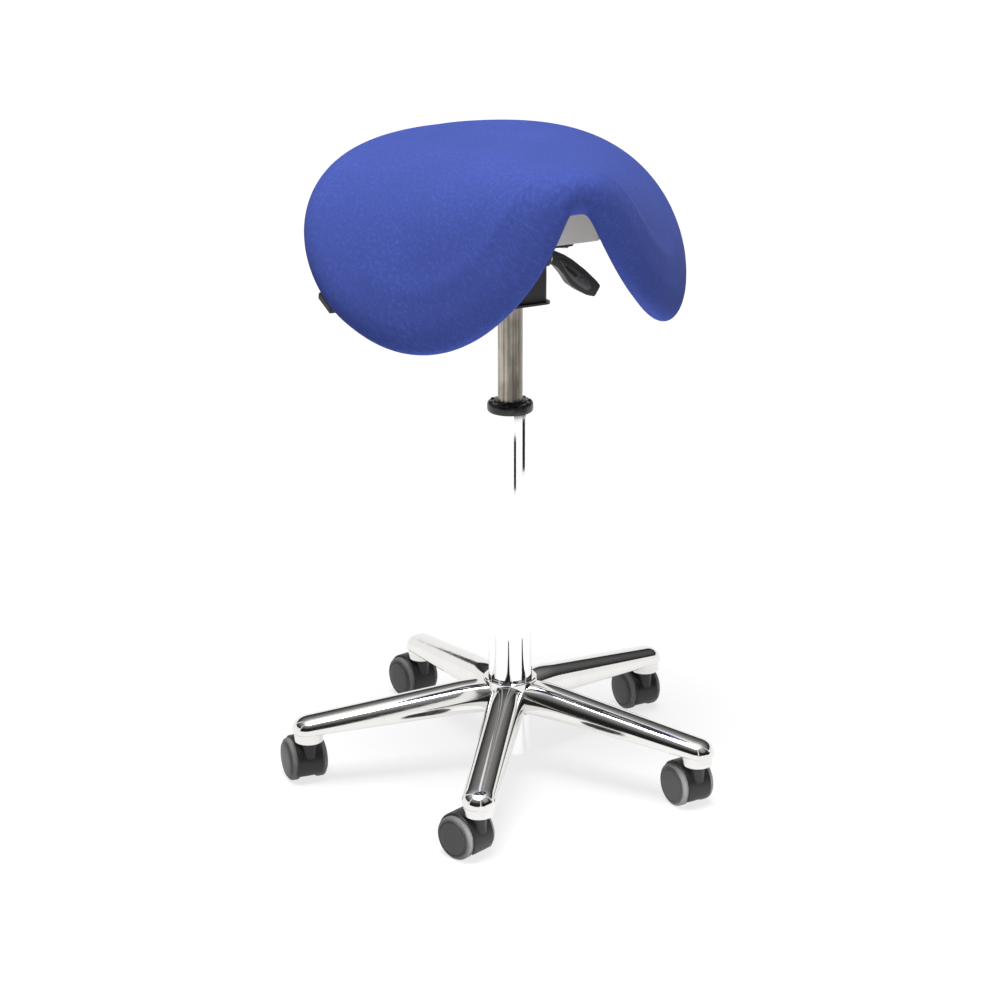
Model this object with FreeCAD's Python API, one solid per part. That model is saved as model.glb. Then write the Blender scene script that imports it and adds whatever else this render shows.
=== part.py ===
import FreeCAD, Part
import math
import os

os.makedirs("parts", exist_ok=True)

Vec = FreeCAD.Vector
X_AXIS = Vec(1, 0, 0)
Y_AXIS = Vec(0, 1, 0)
Z_AXIS = Vec(0, 0, 1)
ORIGIN = Vec(0, 0, 0)

# Saddle stool. Millimetres, Z up, the floor at Z = 0, the column on the Z axis.
# The rider faces -Y, and +X is the side of the short lever.

# Clearances
RUN_FIT = 0.05
SEAT_GAP = 0.3

# Star base
ARM_COUNT = 5
ARM_REACH = 236.0
ARM_FIRST_ANGLE = 36.0
ARM_START = 24.0
ARM_NOSE_WIDTH = 38.0
ARM_NOSE_TOP = 81.0
ARM_NOSE_BOTTOM = 62.0
ARM_ROOT_WIDTH = 44.0
ARM_ROOT_TOP = 116.0
ARM_ROOT_BOTTOM = 80.0
ARM_KNEE = 62.0
ARM_KNEE_TOP = 113.4
ARM_KNEE_BOTTOM = 78.5
ARM_TOP_ROUND = 9.0
ARM_BOTTOM_ROUND = 7.0
HUB_RADIUS = 31.0
HUB_BOTTOM = 78.0
HUB_TOP = 119.0
BOSS_RADIUS = 17.0
BOSS_BOTTOM = 54.0

# Column and gas lift
COLUMN_RADIUS = 25.0
COLUMN_WALL = 2.0
COLUMN_BOTTOM = 28.0
COLUMN_TOP = 441.0
COLUMN_FLOOR = 3.0
BUSH_LENGTH = 84.0
COLLAR_RADIUS = 26.0
COLLAR_HEIGHT = 12.0
COLLAR_POCKETS = 10
CYLINDER_RADIUS = 14.0
CYLINDER_WALL = 2.0
CYLINDER_BOTTOM = 178.0
CYLINDER_TOP = 618.0
TAPER_LENGTH = 46.0
TAPER_LOSS = 1.0
GLAND_LENGTH = 12.0
ROD_RADIUS = 5.0
PISTON_BOTTOM = 290.0
PISTON_LENGTH = 12.0
PIN_RADIUS = 4.0
PIN_PROUD = 2.5
BEARING_RADIUS = 16.0
BEARING_HEIGHT = 6.0
BUMPER_HEIGHT = 16.0

# Castors
WHEEL_RADIUS = 25.0
CASTOR_TRAIL = 19.0
CASTOR_WIDTH = 44.0
TYRE_DEPTH = 3.5
TYRE_INNER_X = 11.0
TYRE_OUTER_X = 20.5
HOOD_WIDTH = 31.0
HOOD_GAP = 0.8
HOOD_WALL = 1.8
HOOD_REACH_DOWN = 32.0
STEM_RADIUS = 5.5
STEM_BOTTOM = 36.0
STEM_TOP = 76.0
AXLE_RADIUS = 3.0
# The way each castor trails, measured like the arm angles.
CASTOR_HEADINGS = (184.0, 183.0, 190.0, 175.0, 200.0)

# Tilt mechanism
HOUSING_HALF_WIDTH = 28.0
HOUSING_FRONT = -37.0
HOUSING_BACK = 60.0
HOUSING_BOTTOM = 572.0
HOUSING_TOP = 628.0
SHEET = 3.0
FLANGE = 3.5
SOCKET_WALL = 5.0
TILT_AXLE_Y = -26.0
TILT_AXLE_Z = 620.0
TILT_AXLE_RADIUS = 4.0
EAR_GAP = 0.8
TILT_NOSE_UP = 4.0
TILT_NOSE_DOWN = 10.0
PLATE_HALF_WIDTH = 50.0
PLATE_FRONT = -59.0
PLATE_BACK = 72.0
PLATE_TOP = 640.0
SCREW_X = 41.0
SCREW_FRONT_Y = -48.0
SCREW_BACK_Y = 60.0
SCREW_RADIUS = 3.0

# Levers
PIVOT_X = 22.0
PIVOT_Z = 620.5
PIVOT_RADIUS = 2.5
LEVER_FRONT = -16.0
LEVER_THICKNESS = 16.0
FINGER_WIDTH = 14.0
CLAMP_Y = 42.0
CLAMP_Z = 602.0
CLAMP_RADIUS = 4.0
LEVER_START = -40.0
LEFT_REACH = 200.0
PADDLE_Y = 54.0
PADDLE_Z = 577.0
PADDLE_LENGTH = 80.0
PADDLE_WIDTH = 32.0
PADDLE_THICKNESS = 7.0
PADDLE_TWIST = 19.0
SPINE_WIDTH = 15.0

# Saddle. A ridge line runs front to back and the seat falls away on both sides of it. The outline
# is measured along that sheet, and the slope grows with the distance from the ridge.
SADDLE_FRONT = 165.0
SADDLE_BACK = 163.0
SADDLE_WIDEST = 38.0
SADDLE_ARC = 268.0
SADDLE_THICKNESS = 43.0
FRONT_SQUARENESS = 2.5
BACK_SQUARENESS = 1.66
FRONT_SLOPE = 65.0
BACK_SLOPE = 21.5
MIDDLE_SLOPE = 8.0
FRONT_RIDGE = 16.0
BACK_RIDGE = 219.0
MIDDLE_RIDGE = 27.0
RIDGE_POWER = 2.1
RIDGE_Z = 717.5
RIDGE_FALL = 0.085
SECTION_LEAN = -4.4
LEAN_Z = 640.0
FLAP_SWEEP = 16.5
FLAP_SWEEP_ARC = 200.0
ROUND_FROM = 0.867
RING_POINTS = 32
SLOPE_STEPS = 20
COVER_THICKNESS = 1.5
HEM_AT = 0.81
SHELL_THICKNESS = 8.0
SHELL_REACH = 0.855
POLE = 0.06
RIM_STEPS = 8
PAN_HALF_WIDTH = 86.0
PAN_FRONT = -61.0
PAN_BACK = 72.0
PAN_WALL = 4.0
PAN_CHAMFER = 10.0
PAN_SECTIONS = 4
PAN_FACETS = 8
PAN_TOP = 730.0
INSERT_RADIUS = 5.0
INSERT_LENGTH = 14.0


def save(name, *solids):
    shape = solids[0] if len(solids) == 1 else Part.makeCompound(list(solids))
    shape.exportStep("parts/" + name + ".step")


def block(x0, x1, y0, y1, z0, z1):
    return Part.makeBox(x1 - x0, y1 - y0, z1 - z0, Vec(x0, y0, z0))


def rod(radius, z0, z1, x=0.0, y=0.0):
    return Part.makeCylinder(radius, z1 - z0, Vec(x, y, z0), Z_AXIS)


def rod_x(radius, x0, x1, y, z):
    return Part.makeCylinder(radius, x1 - x0, Vec(x0, y, z), X_AXIS)


def rod_y(radius, y0, y1, x, z):
    return Part.makeCylinder(radius, y1 - y0, Vec(x, y0, z), Y_AXIS)


def turned(points):
    """Solid of revolution about Z from (radius, height) corners."""
    corners = [Vec(r, 0, z) for r, z in points]
    face = Part.Face(Part.makePolygon(corners + corners[:1]))
    return face.revolve(ORIGIN, Z_AXIS, 360)


def turned_x(points):
    """Solid of revolution about X from (x, radius) corners."""
    corners = [Vec(x, 0, r) for x, r in points]
    face = Part.Face(Part.makePolygon(corners + corners[:1]))
    return face.revolve(ORIGIN, X_AXIS, 360)


def around(shape, angle):
    """A copy turned about the column; angles run from -Y towards +X."""
    copy = shape.copy()
    copy.rotate(ORIGIN, Z_AXIS, angle)
    return copy


def arm_angles():
    return [ARM_FIRST_ANGLE + k * 360.0 / ARM_COUNT for k in range(ARM_COUNT)]


def curve_through(points):
    curve = Part.BSplineCurve()
    curve.interpolate([Vec(0, -d, z) for d, z in points])
    return curve.toShape()


def make_arm():
    """One arm along -Y: a plan outline crossed with a side outline, edges rounded."""
    tip = ARM_REACH + ARM_NOSE_WIDTH / 2
    end = tip + 1.0
    upper = [(ARM_START, ARM_ROOT_TOP), (ARM_KNEE - 18, ARM_ROOT_TOP - 0.4)]
    lower = [(ARM_START, ARM_ROOT_BOTTOM)]
    for k in range(5):
        share = k / 4
        d = ARM_KNEE + share * (end - ARM_KNEE)
        upper.append((d, ARM_KNEE_TOP + share * (ARM_NOSE_TOP - ARM_KNEE_TOP)))
        lower.append((d, ARM_KNEE_BOTTOM + share * (ARM_NOSE_BOTTOM - ARM_KNEE_BOTTOM)))
    lower.reverse()
    wire = Part.Wire(
        [
            curve_through(upper),
            Part.makeLine(Vec(0, -end, ARM_NOSE_TOP), Vec(0, -end, ARM_NOSE_BOTTOM)),
            curve_through(lower),
            Part.makeLine(Vec(0, -ARM_START, ARM_ROOT_BOTTOM), Vec(0, -ARM_START, ARM_ROOT_TOP)),
        ]
    )
    side = Part.Face(wire).extrude(Vec(ARM_ROOT_WIDTH, 0, 0))
    side.translate(Vec(-ARM_ROOT_WIDTH / 2, 0, 0))
    root_left = Vec(-ARM_ROOT_WIDTH / 2, -ARM_START, 0)
    root_right = Vec(ARM_ROOT_WIDTH / 2, -ARM_START, 0)
    nose_left = Vec(-ARM_NOSE_WIDTH / 2, -ARM_REACH, 0)
    nose_right = Vec(ARM_NOSE_WIDTH / 2, -ARM_REACH, 0)
    outline = Part.Wire(
        [
            Part.makeLine(root_left, nose_left),
            Part.Arc(nose_left, Vec(0, -tip, 0), nose_right).toShape(),
            Part.makeLine(nose_right, root_right),
            Part.makeLine(root_right, root_left),
        ]
    )
    arm = side.common(Part.Face(outline).extrude(Vec(0, 0, ARM_ROOT_TOP + 1))).Solids[0]
    arm = arm.makeFillet(ARM_TOP_ROUND, [e for e in arm.Edges if is_rim(e, True)])
    return arm.makeFillet(ARM_BOTTOM_ROUND, [e for e in arm.Edges if is_rim(e, False)])


def is_rim(edge, upper):
    """True for the outline edges of an arm's top or bottom face."""
    box = edge.BoundBox
    if box.YMax > -ARM_START + 0.1 and box.YMin > -ARM_START - 0.1:
        return False
    if box.XLength < 0.1 and box.YLength < 0.1:
        return False
    return box.ZMin > ARM_NOSE_TOP - 0.1 if upper else box.ZMax < ARM_ROOT_BOTTOM + 0.1


def make_base():
    arm = make_arm()
    boss = rod(BOSS_RADIUS, BOSS_BOTTOM, ARM_NOSE_BOTTOM + 6, 0, -ARM_REACH)
    bore = rod(STEM_RADIUS + RUN_FIT, BOSS_BOTTOM - 1, STEM_TOP + 1, 0, -ARM_REACH)
    casting = rod(HUB_RADIUS, HUB_BOTTOM, HUB_TOP)
    casting = casting.fuse([around(arm, a) for a in arm_angles()])
    casting = casting.fuse([around(boss, a) for a in arm_angles()])
    casting = casting.cut([around(bore, a) for a in arm_angles()])
    casting = casting.cut(rod(COLUMN_RADIUS + RUN_FIT, 0, HUB_TOP + 1))
    save("base_casting", casting.Solids[0])


def make_column():
    inner = COLUMN_RADIUS - COLUMN_WALL
    floor = COLUMN_BOTTOM + COLUMN_FLOOR
    hole = ROD_RADIUS + 2.0
    tube = turned(
        (
            (hole, COLUMN_BOTTOM),
            (COLUMN_RADIUS, COLUMN_BOTTOM),
            (COLUMN_RADIUS, COLUMN_TOP),
            (inner, COLUMN_TOP),
            (inner, floor),
            (hole, floor),
        )
    )
    save("column_tube", tube)

    bore = CYLINDER_RADIUS + RUN_FIT
    body = inner - RUN_FIT
    top = COLUMN_TOP + COLLAR_HEIGHT
    rim = 3.0
    bush = turned(
        (
            (bore, COLUMN_TOP - BUSH_LENGTH),
            (body, COLUMN_TOP - BUSH_LENGTH),
            (body, COLUMN_TOP),
            (COLLAR_RADIUS - 1, COLUMN_TOP),
            (COLLAR_RADIUS, COLUMN_TOP + rim),
            (COLLAR_RADIUS, top - rim),
            (COLLAR_RADIUS - rim, top),
            (bore, top),
        )
    )
    pocket = rod(1.8, top - 6, top + 1, 0, (bore + COLLAR_RADIUS - 1) / 2)
    pockets = [around(pocket, k * 360.0 / COLLAR_POCKETS) for k in range(COLLAR_POCKETS)]
    save("guide_bush", bush.cut(pockets))

    bearing_top = floor + BEARING_HEIGHT
    race = turned(
        (
            (ROD_RADIUS + 1, floor),
            (BEARING_RADIUS, floor),
            (BEARING_RADIUS, bearing_top),
            (ROD_RADIUS + 1, bearing_top),
        )
    )
    save("thrust_bearing", race)


def make_lift():
    floor = COLUMN_BOTTOM + COLUMN_FLOOR
    bearing_top = floor + BEARING_HEIGHT
    piston_top = PISTON_BOTTOM + PISTON_LENGTH
    groove = COLUMN_BOTTOM - 1.6
    stalk = turned(
        (
            (0, groove - 2.4),
            (ROD_RADIUS - 1, groove - 2.4),
            (ROD_RADIUS, groove - 1.4),
            (ROD_RADIUS, groove),
            (ROD_RADIUS - 1, groove),
            (ROD_RADIUS - 1, groove + 1.2),
            (ROD_RADIUS, groove + 1.2),
            (ROD_RADIUS, piston_top + 2),
            (0, piston_top + 2),
        )
    )
    save("piston_rod", stalk)
    clip = rod(ROD_RADIUS + 5, groove, groove + 1.2).cut(rod(ROD_RADIUS - 1 + RUN_FIT, groove, groove + 1.2))
    clip = clip.cut(block(-2, 2, 0, ROD_RADIUS + 6, groove - 1, groove + 3))
    save("retaining_clip", clip)
    shaft = ROD_RADIUS + RUN_FIT
    bumper = turned(
        (
            (shaft, bearing_top),
            (12, bearing_top),
            (10, bearing_top + BUMPER_HEIGHT),
            (shaft, bearing_top + BUMPER_HEIGHT),
        )
    )
    save("bump_stop", bumper)
    bore = CYLINDER_RADIUS - CYLINDER_WALL
    piston = turned(
        (
            (shaft, PISTON_BOTTOM),
            (bore - RUN_FIT, PISTON_BOTTOM),
            (bore - RUN_FIT, piston_top),
            (shaft, piston_top),
        )
    )
    save("piston", piston)

    cap = CYLINDER_TOP - 24
    taper = CYLINDER_TOP - TAPER_LENGTH
    pin_bore = PIN_RADIUS + RUN_FIT
    cylinder = turned(
        (
            (bore, CYLINDER_BOTTOM),
            (CYLINDER_RADIUS, CYLINDER_BOTTOM),
            (CYLINDER_RADIUS, taper),
            (CYLINDER_RADIUS - TAPER_LOSS, CYLINDER_TOP),
            (pin_bore, CYLINDER_TOP),
            (pin_bore, cap),
            (bore, cap),
        )
    )
    save("gas_cylinder", cylinder)
    gland_bottom = CYLINDER_BOTTOM + 1
    gland = rod(bore - RUN_FIT, gland_bottom, gland_bottom + GLAND_LENGTH)
    save("rod_gland", gland.cut(rod(shaft, gland_bottom - 1, gland_bottom + GLAND_LENGTH + 1)))
    save("release_pin", rod(PIN_RADIUS, cap + 2, CYLINDER_TOP + PIN_PROUD))


def make_housing():
    half = HOUSING_HALF_WIDTH
    inner = half - SHEET
    shell = block(-half, half, HOUSING_FRONT, HOUSING_BACK, HOUSING_BOTTOM, HOUSING_TOP)
    corners = [e for e in shell.Edges if e.BoundBox.ZLength > 10]
    shell = shell.makeFillet(6.0, corners)
    room = block(
        -inner, inner, HOUSING_FRONT + SHEET, HOUSING_BACK - SHEET, HOUSING_BOTTOM + SHEET, HOUSING_TOP + 1
    )
    room = room.makeFillet(3.0, [e for e in room.Edges if e.BoundBox.ZLength > 10])
    shell = shell.cut(room)
    taper = CYLINDER_TOP - TAPER_LENGTH
    socket_top = CYLINDER_TOP - 6
    shell = shell.fuse(rod(CYLINDER_RADIUS + SOCKET_WALL, HOUSING_BOTTOM, socket_top))
    for side in (-1, 1):
        lug = block(PIVOT_X - 5, inner + 1, -2, 2, PIVOT_Z - 9, HOUSING_TOP)
        lug.translate(Vec(0, side * (FINGER_WIDTH / 2 + 3), 0))
        shell = shell.fuse(lug)
    seat = turned(
        (
            (0, HOUSING_BOTTOM - 1),
            (CYLINDER_RADIUS + RUN_FIT, HOUSING_BOTTOM - 1),
            (CYLINDER_RADIUS + RUN_FIT, taper),
            (CYLINDER_RADIUS - TAPER_LOSS + RUN_FIT, CYLINDER_TOP),
            (0, CYLINDER_TOP),
        )
    )
    window = block(inner - 1, half + 1, -FINGER_WIDTH / 2 - 1, FINGER_WIDTH / 2 + 1, PIVOT_Z - 11, HOUSING_TOP + 1)
    axle_hole = rod_x(TILT_AXLE_RADIUS + RUN_FIT, -half - 1, half + 1, TILT_AXLE_Y, TILT_AXLE_Z)
    clamp_hole = rod_x(CLAMP_RADIUS + RUN_FIT, -half - 1, -inner + 1, CLAMP_Y, CLAMP_Z)
    pivot_hole = rod_y(PIVOT_RADIUS + RUN_FIT, -20, 20, PIVOT_X, PIVOT_Z)
    shell = shell.cut([seat, window, axle_hole, clamp_hole, pivot_hole])
    save("mechanism_housing", shell.Solids[0])

    flange_top = HOUSING_BOTTOM
    flange = block(
        -half - FLANGE, half + FLANGE, HOUSING_FRONT - FLANGE, HOUSING_BACK + FLANGE, flange_top - 2.5, flange_top
    )
    flange = flange.makeFillet(8.0, [e for e in flange.Edges if e.BoundBox.ZLength > 1 and e.BoundBox.XLength < 1
                                     and e.BoundBox.YLength < 1])
    save("housing_floor_plate", flange.cut(rod(CYLINDER_RADIUS + RUN_FIT, flange_top - 5, flange_top + 5)))
    save("lever_pivot", rod_y(PIVOT_RADIUS, -FINGER_WIDTH / 2 - 5, FINGER_WIDTH / 2 + 5, PIVOT_X, PIVOT_Z))
    head = half + EAR_GAP + SHEET + 0.4
    axle = rod_x(TILT_AXLE_RADIUS, -head, head, TILT_AXLE_Y, TILT_AXLE_Z)
    for side in (-1, 1):
        cap = rod_x(TILT_AXLE_RADIUS + 3, 0, 3, TILT_AXLE_Y, TILT_AXLE_Z)
        cap.translate(Vec(head if side > 0 else -head - 3, 0, 0))
        axle = axle.fuse(cap)
    save("tilt_axle", axle.Solids[0])


def clamp_slot():
    """Curved slot for the clamp rod, concentric with the tilt axle."""
    radius = math.hypot(CLAMP_Y - TILT_AXLE_Y, TILT_AXLE_Z - CLAMP_Z)
    rest = math.degrees(math.atan2(TILT_AXLE_Z - CLAMP_Z, CLAMP_Y - TILT_AXLE_Y))
    half_width = CLAMP_RADIUS + 0.4
    spare = 1.0
    low = rest - TILT_NOSE_UP - spare
    high = rest + TILT_NOSE_DOWN + spare

    def at(angle, r):
        rad = math.radians(angle)
        return Vec(0, TILT_AXLE_Y + r * math.cos(rad), TILT_AXLE_Z - r * math.sin(rad))

    inner, outer = radius - half_width, radius + half_width
    middle = (low + high) / 2
    cap = math.degrees(half_width / radius)
    wire = Part.Wire(
        [
            Part.Arc(at(low, inner), at(middle, inner), at(high, inner)).toShape(),
            Part.Arc(at(high, inner), at(high + cap, radius), at(high, outer)).toShape(),
            Part.Arc(at(high, outer), at(middle, outer), at(low, outer)).toShape(),
            Part.Arc(at(low, outer), at(low - cap, radius), at(low, inner)).toShape(),
        ]
    )
    slot = Part.Face(wire).extrude(Vec(20, 0, 0))
    slot.translate(Vec(-HOUSING_HALF_WIDTH - 15, 0, 0))
    return slot


def make_top_plate():
    bottom = PLATE_TOP - SHEET
    plate = block(-PLATE_HALF_WIDTH, PLATE_HALF_WIDTH, PLATE_FRONT, PLATE_BACK, bottom, PLATE_TOP)
    corners = [e for e in plate.Edges if e.BoundBox.ZLength > 1 and e.BoundBox.XLength < 1 and e.BoundBox.YLength < 1]
    plate = plate.makeFillet(8.0, corners)
    inner = HOUSING_HALF_WIDTH + EAR_GAP
    outer = inner + SHEET
    axle_hole = rod_x(TILT_AXLE_RADIUS + RUN_FIT, -60, 60, TILT_AXLE_Y, TILT_AXLE_Z)
    drop = TILT_AXLE_RADIUS + 7
    for x0 in (-outer, inner):
        ear = block(x0, x0 + SHEET, TILT_AXLE_Y - 11, TILT_AXLE_Y + 11, TILT_AXLE_Z, bottom + 1)
        ear = ear.fuse(rod_x(drop, x0, x0 + SHEET, TILT_AXLE_Y, TILT_AXLE_Z))
        plate = plate.fuse(ear)
    reach = math.hypot(CLAMP_Y - TILT_AXLE_Y, TILT_AXLE_Z - CLAMP_Z) + CLAMP_RADIUS + 6
    quadrant = block(-outer, -inner, CLAMP_Y - 15, CLAMP_Y + 13, CLAMP_Z - 22, bottom + 1)
    quadrant = quadrant.common(rod_x(reach, -outer, -inner, TILT_AXLE_Y, TILT_AXLE_Z))
    plate = plate.fuse(quadrant).cut([clamp_slot(), axle_hole])
    for x in (-SCREW_X, SCREW_X):
        for y in (SCREW_FRONT_Y, SCREW_BACK_Y):
            plate = plate.cut(rod(SCREW_RADIUS + 0.3, bottom - 1, PLATE_TOP + 1, x, y))
    save("top_plate", plate.Solids[0])

    screws = []
    inserts = []
    for x in (-SCREW_X, SCREW_X):
        for y in (SCREW_FRONT_Y, SCREW_BACK_Y):
            shank = rod(SCREW_RADIUS, bottom, PLATE_TOP + INSERT_LENGTH - 2, x, y)
            head = rod(5.2, bottom - 3, bottom, x, y)
            hexagon = rod(2.0, bottom - 4, bottom - 1, x, y)
            screws.append(shank.fuse(head).cut(hexagon).Solids[0])
            sleeve = rod(INSERT_RADIUS, PLATE_TOP, PLATE_TOP + INSERT_LENGTH, x, y)
            inserts.append(sleeve.cut(rod(SCREW_RADIUS + RUN_FIT, PLATE_TOP - 1, PLATE_TOP + 99, x, y)))
    save("plate_screws", *screws)
    save("threaded_inserts", *inserts)


def make_short_lever():
    """Height lever: a rocker whose finger lies over the release pin and whose grip hangs outside."""
    outline = (
        (-1.5, 620.7),
        (-4.0, 622.5),
        (-4.0, 626.0),
        (34.0, 626.0),
        (47.0, 622.0),
        (59.0, 616.5),
        (70.0, 609.3),
        (86.0, 596.0),
        (100.9, 581.5),
        (106.0, 575.0),
        (98.5, 563.4),
        (88.0, 566.5),
        (79.3, 571.5),
        (67.8, 580.0),
        (60.0, 592.0),
        (51.1, 602.5),
        (43.6, 606.8),
        (36.0, 611.0),
        (30.0, 614.0),
        (16.0, 614.5),
        (12.0, 621.5),
        (1.5, 620.7),
    )
    corners = [Vec(x, LEVER_FRONT, z) for x, z in outline]
    plate = Part.Face(Part.makePolygon(corners + corners[:1])).extrude(Vec(0, LEVER_THICKNESS + 10, 0))
    grip = block(34, 120, LEVER_FRONT, LEVER_FRONT + LEVER_THICKNESS, 550, 640)
    neck = block(-10, 44, -FINGER_WIDTH / 2, FINGER_WIDTH / 2, 600, 640)
    lever = plate.common(grip.fuse(neck))
    slot = block(-9, 9, LEVER_FRONT - 1, LEVER_FRONT + 2.5, -2.2, 2.2)
    slot.rotate(ORIGIN, Y_AXIS, 42)
    slot.translate(Vec(66, 0, 592.5))
    lever = lever.cut([slot, rod_y(PIVOT_RADIUS + RUN_FIT, -20, 20, PIVOT_X, PIVOT_Z)])
    save("height_lever", lever.Solids[0])


def make_long_lever():
    """Tilt clamp: a short rod through the quadrant slot, and a long lever with a broad grip."""
    inner_end = -HOUSING_HALF_WIDTH + 12
    outer_face = -(HOUSING_HALF_WIDTH + EAR_GAP + SHEET)
    shaft = rod_x(CLAMP_RADIUS, LEVER_START - 16, inner_end, CLAMP_Y, CLAMP_Z)
    collar = rod_x(CLAMP_RADIUS + 4, outer_face - 4, outer_face - 0.3, CLAMP_Y, CLAMP_Z)
    nut = rod_x(CLAMP_RADIUS + 3, -HOUSING_HALF_WIDTH + SHEET + 0.3, inner_end - 2, CLAMP_Y, CLAMP_Z)
    save("clamp_rod", shaft.fuse([collar, nut]).Solids[0])

    length = LEFT_REACH + LEVER_START
    half = PADDLE_WIDTH / 2
    spine = SPINE_WIDTH / 2
    neck = length - PADDLE_LENGTH
    outline = ((0, spine), (-neck + 15, spine), (-neck - 12, half), (-length, half))
    corners = [Vec(x, y, 0) for x, y in outline] + [Vec(x, -y, 0) for x, y in reversed(outline)]
    grip = Part.Face(Part.makePolygon(corners + corners[:1])).extrude(Vec(0, 0, PADDLE_THICKNESS))
    grip.translate(Vec(0, 0, -PADDLE_THICKNESS / 2))
    upright = [e for e in grip.Edges if e.BoundBox.ZLength > 5 and e.BoundBox.XMin < -20]
    grip = grip.makeFillet(7.0, upright)
    flat = [e for e in grip.Edges if e.BoundBox.ZLength < 0.1 and e.BoundBox.XMin < -1]
    grip = grip.makeFillet(2.5, flat)
    grip.rotate(ORIGIN, X_AXIS, PADDLE_TWIST)
    grip.rotate(ORIGIN, Y_AXIS, -math.degrees(math.atan2(CLAMP_Z - PADDLE_Z, length)))
    grip.rotate(ORIGIN, Z_AXIS, -math.degrees(math.atan2(PADDLE_Y - CLAMP_Y, length)))
    grip.translate(Vec(LEVER_START, CLAMP_Y, CLAMP_Z))
    sleeve = rod_x(CLAMP_RADIUS + 3.5, LEVER_START - 20, LEVER_START, CLAMP_Y, CLAMP_Z)
    bore = rod_x(CLAMP_RADIUS + RUN_FIT, LEVER_START - 16 - RUN_FIT, LEVER_START + 9, CLAMP_Y, CLAMP_Z)
    save("tilt_lever", grip.fuse(sleeve).cut(bore).Solids[0])


def seat_point(turn, reach, lift):
    """Point of the saddle: turn round the outline, reach 0 at the middle to 1 at the rim, lift along the normal."""
    c = math.cos(turn)
    s = math.sin(turn)
    power = FRONT_SQUARENESS if c > 0 else BACK_SQUARENESS
    length = SADDLE_FRONT - SADDLE_WIDEST if c > 0 else SADDLE_BACK + SADDLE_WIDEST
    rim = (abs(c) ** power + abs(s) ** power) ** (-1 / power)
    point = sheet_point(SADDLE_WIDEST + reach * length * rim * c, reach * SADDLE_ARC * abs(rim * s), lift)
    point.x = math.copysign(point.x, s)
    return point


def sheet_point(along, arc, lift):
    """Point of the saddle by its distance along the ridge and its arc away from it, on the +X side."""
    share = (along + SADDLE_BACK) / (SADDLE_FRONT + SADDLE_BACK)
    middle = 4 * share * (1 - share)
    steepest = math.radians(BACK_SLOPE + (FRONT_SLOPE - BACK_SLOPE) * share + MIDDLE_SLOPE * middle)
    ridge = BACK_RIDGE + (FRONT_RIDGE - BACK_RIDGE) * share + MIDDLE_RIDGE * middle

    def slope(distance):
        return steepest * (1 - math.exp(-((distance / ridge) ** RIDGE_POWER)))

    across = 0.0
    fall = 0.0
    for k in range(SLOPE_STEPS):
        angle = slope((k + 0.5) / SLOPE_STEPS * arc)
        across += math.cos(angle) * arc / SLOPE_STEPS
        fall += math.sin(angle) * arc / SLOPE_STEPS
    angle = slope(arc)
    across += math.sin(angle) * lift
    forward = along - FLAP_SWEEP * (arc / FLAP_SWEEP_ARC) ** 2
    height = RIDGE_Z - RIDGE_FALL * along - fall + math.cos(angle) * lift - LEAN_Z
    lean = math.radians(SECTION_LEAN)
    front = forward * math.cos(lean) + height * math.sin(lean)
    up = LEAN_Z - forward * math.sin(lean) + height * math.cos(lean)
    return Vec(across if arc > 1e-6 else 0.0, -front, up)


def sheet_height(x, y, lift):
    """Height of the saddle sheet over a point of the plan."""
    along = -y
    arc = abs(x)
    for _ in range(12):
        point = sheet_point(along, arc, lift)
        along += point.y - y
        arc += abs(x) - point.x
    return point.z


def seat_ring(reach, lift, level):
    points = [seat_point(2 * math.pi * k / RING_POINTS, reach, lift) for k in range(RING_POINTS)]
    if level:
        height = sum(p.z for p in points) / RING_POINTS
        points = [Vec(p.x, p.y, height) for p in points]
    curve = Part.BSplineCurve()
    curve.interpolate(points, PeriodicFlag=True)
    return Part.Wire(curve.toShape())


def seat_rings(lift, start, end, count):
    """Rings at one lift between two reaches; a reach of POLE gives a level end ring."""
    rings = []
    for k in range(count + 1):
        reach = start + (end - start) * k / count
        rings.append(seat_ring(reach, lift, reach < POLE + 1e-6))
    return rings


def rim_rings(top, bottom, reach):
    """Rings round the rim, from the edge of the top to the edge of the underside."""
    middle = (top + bottom) / 2
    half = (top - bottom) / 2
    rings = []
    for k in range(RIM_STEPS + 1):
        angle = math.pi * k / RIM_STEPS
        out = ROUND_FROM + (reach - ROUND_FROM) * math.sin(angle)
        rings.append(seat_ring(out, middle + half * math.cos(angle), False))
    return rings


def sewn(*groups):
    """Solid closed from lofts through groups of rings; each group starts where the last one ended."""
    faces = [Part.Face(groups[0][0])]
    for before, rings in zip(groups, groups[1:]):
        rings[0] = before[-1]
    for rings in groups:
        faces += Part.makeLoft(rings, False, len(rings) == 2).Faces
    faces.append(Part.Face(groups[-1][-1]))
    shell = Part.makeShell(faces)
    shell.sewShape()
    solid = Part.Solid(shell)
    if solid.Volume < 0:
        solid.reverse()
    return solid


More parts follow.
